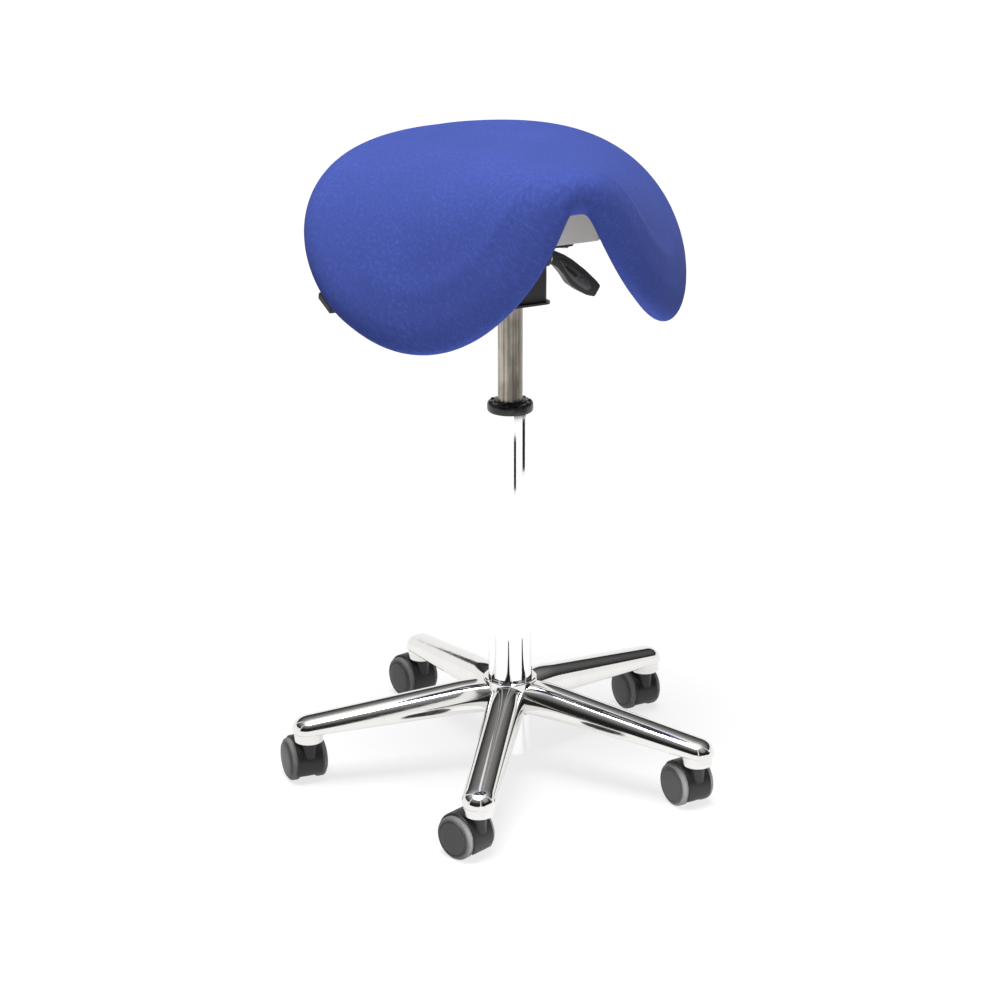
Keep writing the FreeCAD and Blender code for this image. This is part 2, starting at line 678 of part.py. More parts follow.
def make_seat():
    top = SADDLE_THICKNESS / 2
    skin = COVER_THICKNESS
    reach = 1 - 1.1 * skin / SADDLE_ARC
    lining = rim_rings(top - skin, skin - top, reach)
    lining.reverse()
    cover = sewn(
        seat_rings(top, POLE, ROUND_FROM, 6),
        rim_rings(top, -top, 1.0),
        seat_rings(-top, ROUND_FROM, HEM_AT, 2),
        [None, seat_ring(HEM_AT, skin - top, False)],
        seat_rings(skin - top, HEM_AT, ROUND_FROM, 2),
        lining,
        seat_rings(top - skin, ROUND_FROM, POLE, 6),
    )
    save("seat_cover", cover)

    inset = skin + SEAT_GAP
    low = inset - top
    high = low + SHELL_THICKNESS
    foam = sewn(
        seat_rings(top - inset, POLE, ROUND_FROM, 6),
        rim_rings(top - inset, low, 1 - 1.1 * inset / SADDLE_ARC),
        seat_rings(low, ROUND_FROM, SHELL_REACH, 1),
        [None, seat_ring(SHELL_REACH, high + SEAT_GAP, False)],
        seat_rings(high + SEAT_GAP, SHELL_REACH, POLE, 6),
    )
    save("seat_foam", foam)

    edge = SHELL_REACH - 1.1 * SEAT_GAP / SADDLE_ARC
    shell = sewn(
        seat_rings(high, POLE, edge, 6),
        [None, seat_ring(edge, low, False)],
        seat_rings(low, edge, POLE, 6),
    )
    save("seat_shell", shell)
    make_pan(low - SEAT_GAP)


def pan_block(inset, floor, lift, rise, chamfer):
    """Solid from a level floor up to the saddle sheet, with its sides set in and its corners cut."""
    half = PAN_HALF_WIDTH - inset
    front = PAN_FRONT + inset
    back = PAN_BACK - inset
    grid = []
    for j in range(PAN_SECTIONS + 1):
        y = front + (back - front) * j / PAN_SECTIONS
        row = []
        for i in range(PAN_FACETS + 1):
            x = -half + 2 * half * i / PAN_FACETS
            row.append(Vec(x, y, sheet_height(x, y, lift) + rise))
        grid.append(row)
    outlines = []
    for near, far in zip(grid, grid[1:]):
        for a, b, c, d in zip(near, near[1:], far[1:], far):
            outlines += [[a, b, c], [a, c, d]]
        outlines.append([near[0], far[0], Vec(-half, far[0].y, floor), Vec(-half, near[0].y, floor)])
        outlines.append([far[-1], near[-1], Vec(half, near[0].y, floor), Vec(half, far[0].y, floor)])
        outlines.append([Vec(x, row[0].y, floor) for x, row in ((-half, near), (-half, far), (half, far), (half, near))])
    for row in (grid[0], grid[-1]):
        outlines.append(row + [Vec(half, row[0].y, floor), Vec(-half, row[0].y, floor)])
    shell = Part.makeShell([Part.Face(Part.makePolygon(points + points[:1])) for points in outlines])
    shell.sewShape()
    solid = Part.Solid(shell)
    if solid.Volume < 0:
        solid.reverse()
    reach = 20.0
    out = (reach - chamfer * math.sqrt(0.5)) * math.sqrt(0.5)
    for x in (-half - out, half + out):
        for y in (front - out, back + out):
            wedge = block(-reach, reach, -reach, reach, floor - 1, PAN_TOP)
            wedge.rotate(ORIGIN, Z_AXIS, 45)
            wedge.translate(Vec(x, y, 0))
            solid = solid.cut(wedge)
    return solid.Solids[0]


def make_pan(lift):
    """Light tray between the top plate and the shell, with a boss round each threaded insert."""
    whole = pan_block(0.0, PLATE_TOP, lift, 0.0, PAN_CHAMFER)
    hollow = pan_block(PAN_WALL, PLATE_TOP + PAN_WALL, lift, 5.0, PAN_CHAMFER - 2)
    pan = whole.cut(hollow)
    for x in (-SCREW_X, SCREW_X):
        for y in (SCREW_FRONT_Y, SCREW_BACK_Y):
            boss = rod(INSERT_RADIUS + 5, PLATE_TOP + 1, PAN_TOP, x, y)
            pan = pan.fuse(boss.common(whole))
            pan = pan.cut(rod(INSERT_RADIUS + RUN_FIT, PLATE_TOP - 1, PLATE_TOP + INSERT_LENGTH + 1, x, y))
    save("seat_pan", pan.Solids[0])


def make_castor(number, angle, heading):
    """Twin-wheel castor: built at the origin trailing along -Y, then turned and set under its arm."""
    rad = math.radians(angle)
    spot = Vec(ARM_REACH * math.sin(rad), -ARM_REACH * math.cos(rad), 0)
    name = "castor_%d_" % number

    def place(suffix, shape):
        placed = shape.copy()
        placed.rotate(ORIGIN, Z_AXIS, heading)
        placed.translate(spot)
        save(name + suffix, placed)

    axle_at = Vec(0, -CASTOR_TRAIL, WHEEL_RADIUS)
    collar_low = BOSS_BOTTOM - 1.6
    stem = turned(
        (
            (0, STEM_BOTTOM),
            (STEM_RADIUS, STEM_BOTTOM),
            (STEM_RADIUS, collar_low),
            (STEM_RADIUS + 4, collar_low),
            (STEM_RADIUS + 4, BOSS_BOTTOM),
            (STEM_RADIUS, BOSS_BOTTOM),
            (STEM_RADIUS, STEM_TOP - 6),
            (STEM_RADIUS - 0.8, STEM_TOP - 6),
            (STEM_RADIUS - 0.8, STEM_TOP - 3),
            (STEM_RADIUS, STEM_TOP - 3),
            (STEM_RADIUS - 1.5, STEM_TOP),
            (0, STEM_TOP),
        )
    )
    place("stem", stem)

    inside = WHEEL_RADIUS + HOOD_GAP
    outside = inside + HOOD_WALL
    half = HOOD_WIDTH / 2
    fender = rod_x(outside, -half, half, 0, 0).cut(rod_x(inside, -half - 1, half + 1, 0, 0))
    drop = outside * math.sin(math.radians(HOOD_REACH_DOWN))
    fender = fender.cut(block(-40, 40, -40, 40, -40, -drop))
    web = rod_x(inside + 0.5, -3.5, 3.5, 0, 0).cut(block(-40, 40, -40, 40, -40, -drop))
    fender.translate(axle_at)
    web.translate(axle_at)
    socket_top = collar_low - 0.4
    socket = rod(STEM_RADIUS + 3.2, STEM_BOTTOM - 3, socket_top)
    hood = fender.fuse([web, socket])
    hood = hood.cut(rod(STEM_RADIUS + RUN_FIT, STEM_BOTTOM - RUN_FIT, 90))
    hood = hood.cut(block(-40, 40, -80, 40, socket_top, 90))
    hood = hood.cut(rod_x(AXLE_RADIUS + RUN_FIT, -10, 10, axle_at.y, axle_at.z))
    place("hood", hood.Solids[0])

    end = CASTOR_WIDTH / 2
    place("axle", rod_x(AXLE_RADIUS, -end + 5, end - 5, axle_at.y, axle_at.z))
    rim = WHEEL_RADIUS - TYRE_DEPTH
    bore = AXLE_RADIUS + RUN_FIT
    wheel = turned_x(
        (
            (4.2, bore),
            (4.2, 6.5),
            (end - 6, 6.5),
            (end - 6, rim - 2.5),
            (TYRE_INNER_X, rim - 2.5),
            (TYRE_INNER_X, rim),
            (TYRE_OUTER_X, rim),
            (end - 0.8, rim - 1.5),
            (end, rim - 5),
            (end, 0),
            (end - 4.8, 0),
            (end - 4.8, bore),
        )
    )
    tyre = turned_x(
        (
            (TYRE_INNER_X, rim + RUN_FIT),
            (TYRE_INNER_X, WHEEL_RADIUS - 1.2),
            (TYRE_INNER_X + 1.2, WHEEL_RADIUS),
            (TYRE_OUTER_X - 2.2, WHEEL_RADIUS),
            (TYRE_OUTER_X - 0.5, WHEEL_RADIUS - 1.2),
            (TYRE_OUTER_X, rim + RUN_FIT),
        )
    )
    for suffix, flip in (("a", 0), ("b", 180)):
        for label, shape in (("wheel_", wheel), ("tyre_", tyre)):
            turned_shape = shape.copy()
            turned_shape.rotate(ORIGIN, Z_AXIS, flip)
            turned_shape.translate(axle_at)
            place(label + suffix, turned_shape)


if __name__ == "__main__":
    make_base()
    make_column()
    make_lift()
    make_housing()
    make_top_plate()
    make_short_lever()
    make_long_lever()
    for index, (arm_angle, trail) in enumerate(zip(arm_angles(), CASTOR_HEADINGS)):
        make_castor(index + 1, arm_angle, trail)
    make_seat()
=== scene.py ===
import random
from math import atan2, copysign, cos, exp, pi, radians, sin, sqrt

import bpy
from bpy.props import FloatProperty, FloatVectorProperty, IntProperty, PointerProperty
from bpy.types import Operator, Panel, PropertyGroup
from mathutils import Matrix, Vector


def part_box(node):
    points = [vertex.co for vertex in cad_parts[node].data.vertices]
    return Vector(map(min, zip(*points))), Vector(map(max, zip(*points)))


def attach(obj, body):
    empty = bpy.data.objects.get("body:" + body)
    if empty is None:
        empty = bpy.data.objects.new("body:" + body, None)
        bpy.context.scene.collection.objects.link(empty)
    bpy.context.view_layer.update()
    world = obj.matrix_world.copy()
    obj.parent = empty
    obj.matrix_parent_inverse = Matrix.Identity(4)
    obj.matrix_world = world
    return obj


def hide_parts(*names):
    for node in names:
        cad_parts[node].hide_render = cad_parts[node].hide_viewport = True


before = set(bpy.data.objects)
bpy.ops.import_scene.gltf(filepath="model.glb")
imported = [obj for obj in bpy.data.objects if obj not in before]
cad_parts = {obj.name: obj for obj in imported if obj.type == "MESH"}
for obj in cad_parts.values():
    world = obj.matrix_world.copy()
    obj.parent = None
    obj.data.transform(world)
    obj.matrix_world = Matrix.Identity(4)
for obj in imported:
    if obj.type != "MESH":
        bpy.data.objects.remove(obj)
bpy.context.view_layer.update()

bl_info = {
    "name": "Saddle Stool",
    "version": (1, 0, 0),
    "blender": (4, 5, 0),
    "location": "3D View > Sidebar > Stool",
    "description": "Builds a saddle stool with a wool seat and a star base on castors",
    "category": "Add Mesh",
}

MM = 0.001


def between(a, b, share):
    return a + (b - a) * share


# Making and placing meshes


def add_object(name, data):
    item = bpy.data.objects.new(name, data)
    bpy.context.scene.collection.objects.link(item)
    return item


def mesh_piece(name, points, faces, material, sharp=35.0):
    """A smooth mesh object, with sharp edges where faces meet at more than an angle in degrees."""
    mesh = bpy.data.meshes.new(name)
    mesh.from_pydata([tuple(p) for p in points], [], faces)
    mesh.validate()
    mesh.update()
    mesh.shade_smooth()
    if sharp:
        mesh.set_sharp_from_angle(angle=radians(sharp))
    mesh.materials.append(material)
    return add_object(name, mesh)


def add_bevel(piece, width, segments=3, angle=30.0):
    bevel = piece.modifiers.new("rounded edges", "BEVEL")
    bevel.width = width
    bevel.segments = segments
    bevel.limit_method = "ANGLE"
    bevel.angle_limit = radians(angle)
    bevel.harden_normals = True


def ring_faces(rings, count, looped=False):
    """Quads between equal rings of points. Each end is closed by a face, or the last ring meets the first."""
    faces = []
    pairs = rings if looped else rings - 1
    for k in range(pairs):
        low = k * count
        high = (k + 1) % rings * count
        for i in range(count):
            j = (i + 1) % count
            faces.append((low + i, low + j, high + j, high + i))
    if not looped:
        faces.append(tuple(reversed(range(count))))
        faces.append(tuple((rings - 1) * count + i for i in range(count)))
    return faces


def turned(name, profile, material, steps=96, axis="Z", tube=False, sharp=30.0):
    """A piece turned on a lathe, from (radius, height) in millimetres. A tube's profile is a closed loop."""
    points = []
    for radius, height in profile:
        for k in range(steps):
            angle = 2 * pi * k / steps
            a, b, c = radius * MM * cos(angle), radius * MM * sin(angle), height * MM
            points.append((a, b, c) if axis == "Z" else (c, a, b))
    return mesh_piece(name, points, ring_faces(len(profile), steps, tube), material, sharp)


def rounded_corners(outline, radius, steps=4):
    """A closed outline of (a, b) corners with each corner rounded."""
    soft = []
    for k, corner in enumerate(outline):
        here = Vector(corner)
        before = Vector(outline[k - 1])
        after = Vector(outline[(k + 1) % len(outline)])
        reach = min(radius, 0.45 * (here - before).length, 0.45 * (after - here).length)
        start = here + (before - here).normalized() * reach
        end = here + (after - here).normalized() * reach
        for i in range(steps + 1):
            t = i / steps
            soft.append(tuple(start * (1 - t) ** 2 + here * 2 * t * (1 - t) + end * t**2))
    return soft


def slab(name, outline, low, high, material, axis="Y"):
    """A flat piece with an outline, from low to high along an axis, all in millimetres."""
    count = len(outline)
    points = []
    for level in (low, high):
        for a, b in outline:
            place = (level, a, b) if axis == "X" else (a, level, b)
            points.append([value * MM for value in place])
    area = sum(p[0] * q[1] - q[0] * p[1] for p, q in zip(outline, outline[1:] + outline[:1]))
    faces = ring_faces(2, count)
    if (area > 0) == (axis == "Y"):
        faces = [tuple(reversed(face)) for face in faces]
    return mesh_piece(name, points, faces, material)


def put(piece, matrix):
    """Moves the piece's points, so its object stays at the origin."""
    piece.data.transform(matrix)
    piece.data.update()
    return piece


def joined(name, pieces):
    """One object from several, each with its modifiers applied."""
    depsgraph = bpy.context.evaluated_depsgraph_get()
    points, faces, finishes, materials = [], [], [], []
    for piece in pieces:
        shape = bpy.data.meshes.new_from_object(piece.evaluated_get(depsgraph))
        first = len(points)
        points += [tuple(v.co) for v in shape.vertices]
        for face in shape.polygons:
            faces.append(tuple(first + v for v in face.vertices))
            material = shape.materials[face.material_index]
            if material not in materials:
                materials.append(material)
            finishes.append(materials.index(material))
    for piece in pieces:
        bpy.data.objects.remove(piece)
    whole = mesh_piece(name, points, faces, materials[0])
    for material in materials[1:]:
        whole.data.materials.append(material)
    for face, finish in zip(whole.data.polygons, finishes):
        face.material_index = finish
    return whole


def finish_nodes(material, *names):
    """Gives the finish to CAD nodes whose shape stays as it is."""
    for name in names:
        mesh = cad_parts[name].data
        if mesh.materials:
            for k in range(len(mesh.materials)):
                mesh.materials[k] = material
        else:
            mesh.materials.append(material)


# Finishes


def new_material(name):
    material = bpy.data.materials.new(name)
    material.use_nodes = True
    return material, material.node_tree, material.node_tree.nodes["Principled BSDF"]


def set_inputs(node, values):
    for name, value in values.items():
        node.inputs[name].default_value = value


def noise(tree, source, scale, detail=4.0, roughness=0.55):
    texture = tree.nodes.new("ShaderNodeTexNoise")
    set_inputs(texture, {"Scale": scale, "Detail": detail, "Roughness": roughness})
    tree.links.new(source, texture.inputs["Vector"])
    return texture.outputs["Fac"]


def stretched(tree, source, scale):
    mapping = tree.nodes.new("ShaderNodeMapping")
    set_inputs(mapping, {"Scale": scale})
    tree.links.new(source, mapping.inputs["Vector"])
    return mapping.outputs["Vector"]


def remap(tree, source, low, high, from_low=0.3, from_high=0.7):
    node = tree.nodes.new("ShaderNodeMapRange")
    set_inputs(node, {"From Min": from_low, "From Max": from_high, "To Min": low, "To Max": high})
    tree.links.new(source, node.inputs["Value"])
    return node.outputs["Result"]


def blend_colours(tree, factor, dark, light):
    ramp = tree.nodes.new("ShaderNodeValToRGB")
    ramp.color_ramp.elements[0].position = 0.25
    ramp.color_ramp.elements[0].color = (*dark, 1)
    ramp.color_ramp.elements[1].position = 0.75
    ramp.color_ramp.elements[1].color = (*light, 1)
    tree.links.new(factor, ramp.inputs["Fac"])
    return ramp.outputs["Color"]


def combine(tree, operation, a, b):
    node = tree.nodes.new("ShaderNodeMath")
    node.operation = operation
    for k, value in enumerate((a, b)):
        if isinstance(value, (int, float)):
            node.inputs[k].default_value = value
        else:
            tree.links.new(value, node.inputs[k])
    return node.outputs["Value"]


def weighted_sum(tree, first, *others):
    """Adds up (value, weight) pairs."""
    total = combine(tree, "MULTIPLY", *first)
    for pair in others:
        total = combine(tree, "ADD", total, combine(tree, "MULTIPLY", *pair))
    return total


def cover(tree, shader, colours, roughness, height, strength, distance):
    """Links a surface's colours, roughness and bump to its shader."""
    tree.links.new(colours, shader.inputs["Base Color"])
    tree.links.new(roughness, shader.inputs["Roughness"])
    bump = tree.nodes.new("ShaderNodeBump")
    set_inputs(bump, {"Strength": strength, "Distance": distance})
    tree.links.new(height, bump.inputs["Height"])
    tree.links.new(bump.outputs["Normal"], shader.inputs["Normal"])


def object_place(tree):
    return tree.nodes.new("ShaderNodeTexCoord").outputs["Object"]


def shade(colour, factor):
    return tuple(channel * factor for channel in colour)


def grained_plastic(name, colour, roughness=0.45, grain=0.00012, scale=900.0, contrast=0.18):
    """Moulded plastic: a fine spark-eroded grain, slightly uneven gloss and colour."""
    material, tree, shader = new_material(name)
    place = object_place(tree)
    fine = noise(tree, place, scale, 3.0)
    broad = noise(tree, place, 22.0, 5.0)
    colours = blend_colours(tree, broad, shade(colour, 1 - contrast), shade(colour, 1 + contrast))
    cover(tree, shader, colours, remap(tree, broad, roughness - 0.06, roughness + 0.08), fine, 0.35, grain)
    return material


def polished_metal(name, colour, low, high, scale=26.0, wave=0.00005):
    """Cast and polished metal: a faint hand-polished wave, fine wipe marks and soft smears of gloss."""
    material, tree, shader = new_material(name)
    place = object_place(tree)
    broad = noise(tree, place, scale, 3.0)
    smears = noise(tree, stretched(tree, place, (6.0, 6.0, 90.0)), 9.0, 6.0)
    colours = blend_colours(tree, broad, shade(colour, 0.97), shade(colour, 1.02))
    set_inputs(shader, {"Metallic": 1.0})
    cover(tree, shader, colours, remap(tree, smears, low, high), broad, 0.25, wave)
    return material


def drawn_steel(name, colour, low, high, stretch=(40.0, 40.0, 1.0), contrast=0.25):
    """Ground or drawn steel: lines along the part and a few darker patches. At a high contrast the lines are
    dark streaks of painted reflection.
    """
    material, tree, shader = new_material(name)
    place = object_place(tree)
    lines = noise(tree, stretched(tree, place, stretch), 60.0, 6.0, 0.7)
    patches = noise(tree, place, 14.0, 4.0)
    mixed = weighted_sum(tree, (lines, 0.55), (patches, 0.45))
    tone = remap(tree, mixed, 0.0, 1.0, 0.38, 0.62)
    colours = blend_colours(tree, tone, shade(colour, 1 - contrast), shade(colour, 1.1))
    set_inputs(shader, {"Metallic": 1.0})
    cover(tree, shader, colours, remap(tree, mixed, low, high), lines, 0.3, 0.00004)
    return material


def soft_rubber(name, colour):
    material, tree, shader = new_material(name)
    place = object_place(tree)
    fine = noise(tree, place, 420.0, 5.0)
    dust = noise(tree, place, 30.0, 6.0, 0.7)
    colours = blend_colours(tree, dust, shade(colour, 0.8), shade(colour, 1.25))
    cover(tree, shader, colours, remap(tree, dust, 0.5, 0.75), fine, 0.4, 0.0002)
    return material


def powder_coat(name, colour):
    material, tree, shader = new_material(name)
    place = object_place(tree)
    orange_peel = noise(tree, place, 260.0, 2.0)
    rub = noise(tree, place, 35.0, 6.0, 0.65)
    colours = blend_colours(tree, rub, shade(colour, 0.85), shade(colour, 1.3))
    cover(tree, shader, colours, remap(tree, rub, 0.34, 0.5), orange_peel, 0.3, 0.00015)
    return material


# Width of one band of the wave texture at scale 1
WAVE_BAND = 0.314


def woven_wool(name, colour, thread):
    """Stretch wool: a plain weave of fine threads, mottled fibres and a soft nap."""
    material, tree, shader = new_material(name)
    sheet = tree.nodes.new("ShaderNodeUVMap")
    sheet.uv_map = "sheet"
    flat = sheet.outputs["UV"]
    threads = []
    for direction in ("X", "Y"):
        wave = tree.nodes.new("ShaderNodeTexWave")
        wave.wave_type = "BANDS"
        wave.bands_direction = direction
        set_inputs(wave, {"Scale": WAVE_BAND / thread, "Distortion": 1.6, "Detail": 2.0, "Detail Scale": 1.5})
        tree.links.new(flat, wave.inputs["Vector"])
        threads.append(wave.outputs["Fac"])
    weave = combine(tree, "MULTIPLY", threads[0], threads[1])
    fibres = noise(tree, flat, 1400.0, 6.0, 0.7)
    mottle = noise(tree, flat, 240.0, 5.0, 0.75)
    wear = noise(tree, flat, 11.0, 3.0)
    surface = weighted_sum(tree, (weave, 0.6), (fibres, 0.7))
    tone = weighted_sum(tree, (mottle, 0.5), (fibres, 0.3), (weave, 0.12), (wear, 0.15))
    tone = remap(tree, tone, 0.0, 1.0, 0.44, 0.7)
    colours = blend_colours(tree, tone, shade(colour, 0.78), shade(colour, 1.22))
    set_inputs(shader, {"Specular IOR Level": 0.1, "Sheen Weight": 0.05, "Sheen Roughness": 0.45})
    set_inputs(shader, {"Sheen Tint": (0.55, 0.65, 1.0, 1.0)})
    cover(tree, shader, colours, remap(tree, mottle, 0.84, 0.96), surface, 0.55, 0.0005)
    return material


# Sizes and colours that a user would change


def length_prop(name, description, millimetres):
    return FloatProperty(name=name, description=description, default=millimetres * MM, unit="LENGTH")


def angle_prop(name, description, degrees):
    return FloatProperty(name=name, description=description, default=radians(degrees), subtype="ANGLE")


def colour_prop(name, description, default):
    return FloatVectorProperty(name=name, description=description, default=default, subtype="COLOR")


class SaddleSettings(PropertyGroup):
    front: length_prop("Front", "Ridge from the middle to the front edge", 165)
    back: length_prop("Back", "Ridge from the middle to the back edge", 163)
    widest: length_prop("Widest Point", "How far forward the widest point is", 38)
    arc: length_prop("Flap Arc", "Length of the sheet from the ridge to a flap's edge", 268)
    thickness: length_prop("Thickness", "Thickness of the padding", 43)
    front_slope: angle_prop("Front Slope", "Steepest slope at the front", 65)
    back_slope: angle_prop("Back Slope", "Steepest slope at the back", 21.5)
    ridge_height: length_prop("Ridge Height", "Height of the middle of the padding", 717.5)
    lean: angle_prop("Lean", "How far the seat leans back", 4.4)
    thread: length_prop("Thread", "Width of one thread of the weave", 1.1)
    wool: colour_prop("Wool", "Colour of the cover", (0.074, 0.114, 0.47))
    detail: IntProperty(name="Detail", description="Squares across the top", default=48, min=16, max=96)


class MechanismSettings(PropertyGroup):
    pan: colour_prop("Pan", "Colour of the moulded pan", (0.9, 0.86, 0.82))
    coat: colour_prop("Coat", "Colour of the coated steel", (0.026, 0.024, 0.027))
    plastic: colour_prop("Levers", "Colour of the two levers", (0.032, 0.032, 0.031))
    grip_thickness: length_prop("Grip", "Thickness of the short lever", 16)


class ColumnSettings(PropertyGroup):
    radius: length_prop("Tube Radius", "Outer radius of the column", 25)
    lift_radius: length_prop("Lift Radius", "Outer radius of the gas lift", 14)
    lift: colour_prop("Lift", "Colour of the gas lift", (0.52, 0.47, 0.40))
    chrome: colour_prop("Chrome", "Colour of the column", (0.96, 0.96, 0.965))
    collar: colour_prop("Collar", "Colour of the guide bush", (0.018, 0.017, 0.016))


class BaseSettings(PropertyGroup):
    reach: length_prop("Reach", "Column to castor", 236)
    nose_width: length_prop("Nose Width", "Width of an arm at its end", 38)
    root_width: length_prop("Root Width", "Width of an arm at the hub", 44)
    metal: colour_prop("Metal", "Colour of the polished casting", (0.82, 0.81, 0.79))


class CastorSettings(PropertyGroup):
    wheel_radius: length_prop("Wheel Radius", "Radius over the tread", 25)
    trail: length_prop("Trail", "Stem to axle", 19)
    width: length_prop("Width", "Width over both wheels", 46)
    hood: colour_prop("Hood", "Colour of the hood", (0.008, 0.007, 0.008))
    cap: colour_prop("Cap", "Colour of the wheel caps", (0.04, 0.039, 0.04))
    tread: colour_prop("Tread", "Colour of the soft treads", (0.15, 0.148, 0.144))


class StudioSettings(PropertyGroup):
    floor: colour_prop("Floor", "Colour of the floor", (0.36, 0.36, 0.36))
    key: FloatProperty(name="Key Light", description="Strength of the light from above", default=3.9, min=0)
    fill: FloatProperty(name="Fill Light", description="Lamp on the right", default=1.5, min=0, unit="POWER")
    bounce: FloatProperty(name="Bounce", description="Lamp under the seat", default=3.8, min=0, unit="POWER")
    ambient: FloatProperty(name="Ambient", description="Light from all round", default=0.13, min=0)
    lens: FloatProperty(name="Lens", description="Focal length", default=97.45, subtype="DISTANCE_CAMERA")


GROUPS = {
    "stool_saddle": SaddleSettings,
    "stool_mechanism": MechanismSettings,
    "stool_column": ColumnSettings,
    "stool_base": BaseSettings,
    "stool_castors": CastorSettings,
    "stool_studio": StudioSettings,
}


# The saddle


# How far the flat part beside the ridge reaches, in millimetres: at the back, at the front and more in the
# middle, which adds to the slope too
BACK_FLAT = 219
FRONT_FLAT = 16
MIDDLE_FLAT = 27
MIDDLE_SLOPE = radians(8)
SLOPE_POWER = 2.1

# How square the outline is before and behind its widest point
FRONT_POWER = 2.5
BACK_POWER = 1.66

# How far back the flaps are swept at a distance from the ridge, and how fast the ridge falls forwards
SWEEP = 16.5 * MM
SWEEP_AT = 200 * MM
RIDGE_FALL = 0.085

# Height of the axis it leans about
LEAN_HEIGHT = 640 * MM


class SaddleShape:
    """The seat is a bent sheet. A ridge runs front to back, and the slope grows with the distance from it."""

    def __init__(self, settings):
        self.s = settings

    def slope(self, share, distance):
        """Slope across the seat, at a share of the way from the back to the front."""
        s = self.s
        middle = 4 * share * (1 - share)
        steepest = between(s.back_slope, s.front_slope, share) + MIDDLE_SLOPE * middle
        flat = (between(BACK_FLAT, FRONT_FLAT, share) + MIDDLE_FLAT * middle) * MM
        return steepest * (1 - exp(-((distance / flat) ** SLOPE_POWER)))

    def outline(self, turn):
        """Direction of the rim along and across the ridge, for a turn round the outline."""
        s = self.s
        c, n = cos(turn), sin(turn)
        power = FRONT_POWER if c > 0 else BACK_POWER
        length = s.front - s.widest if c > 0 else s.back + s.widest
        rim = (abs(c) ** power + abs(n) ** power) ** (-1 / power)
        return length * rim * c, s.arc * rim * n

    def point(self, turn, reach, lift):
        """A place at a turn round the seat and a share of the way to the rim, lifted off the sheet."""
        s = self.s
        ahead, side = self.outline(turn)
        along = s.widest + reach * ahead
        arc = reach * abs(side)
        share = (along + s.back) / (s.front + s.back)
        across = fall = 0.0
        steps = 20
        for k in range(steps):
            angle = self.slope(share, (k + 0.5) / steps * arc)
            across += cos(angle) * arc / steps
            fall += sin(angle) * arc / steps
        angle = self.slope(share, arc)
        across += sin(angle) * lift
        forward = along - SWEEP * (arc / SWEEP_AT) ** 2
        height = s.ridge_height - RIDGE_FALL * along - fall + cos(angle) * lift - LEAN_HEIGHT
        front = forward * cos(s.lean) - height * sin(s.lean)
        up = LEAN_HEIGHT + forward * sin(s.lean) + height * cos(s.lean)
        return Vector((copysign(across, side) if arc > 1e-6 else 0.0, -front, up))


# Shares of the way to the rim: where the top rounds over, where the hem under the seat ends, and where the
# side on the shell stands
ROUND_FROM = 0.867
HEM_AT = 0.81
SIDE_AT = 0.856

# Steps of the rounded rim and of the hem, and the share of the woven sheet that the rim takes
RIM_STEPS = 14
HEM_STEPS = 5
RIM_SPREAD = 0.28

# How high the side stands over the hem, and how thick the hem's lip is
SIDE_HEIGHT = 10.2 * MM
LIP = 2.6 * MM

# The bead of padding inside the front edge: its height, and its place and width as shares of the way out
BEAD_HEIGHT = 4 * MM
BEAD_AT = 0.79
BEAD_WIDTH = 0.052


def round_grid(count):
    """Points of a square grid bent onto a disc, as (turn, reach), and its edge in order."""
    spots = []
    for j in range(count + 1):
        for i in range(count + 1):
            u = 2 * i / count - 1
            v = 2 * j / count - 1
            if abs(u) < 1e-9 and abs(v) < 1e-9:
                spots.append((0, 0))
            elif abs(u) > abs(v):
                spots.append((pi / 4 * v / u + (pi if u < 0 else 0), abs(u)))
            else:
                spots.append((pi / 2 - pi / 4 * u / v + (pi if v < 0 else 0), abs(v)))
    row = count + 1
    edge = list(range(count))
    edge += [count + j * row for j in range(count)]
    edge += [count * row + count - i for i in range(count)]
    edge += [(count - j) * row for j in range(count)]
    return spots, edge


def grid_faces(points, count):
    row = count + 1
    corners = [j * row + i for j in range(count) for i in range(count)]
    return [(points[a], points[a + 1], points[a + row + 1], points[a + row]) for a in corners]


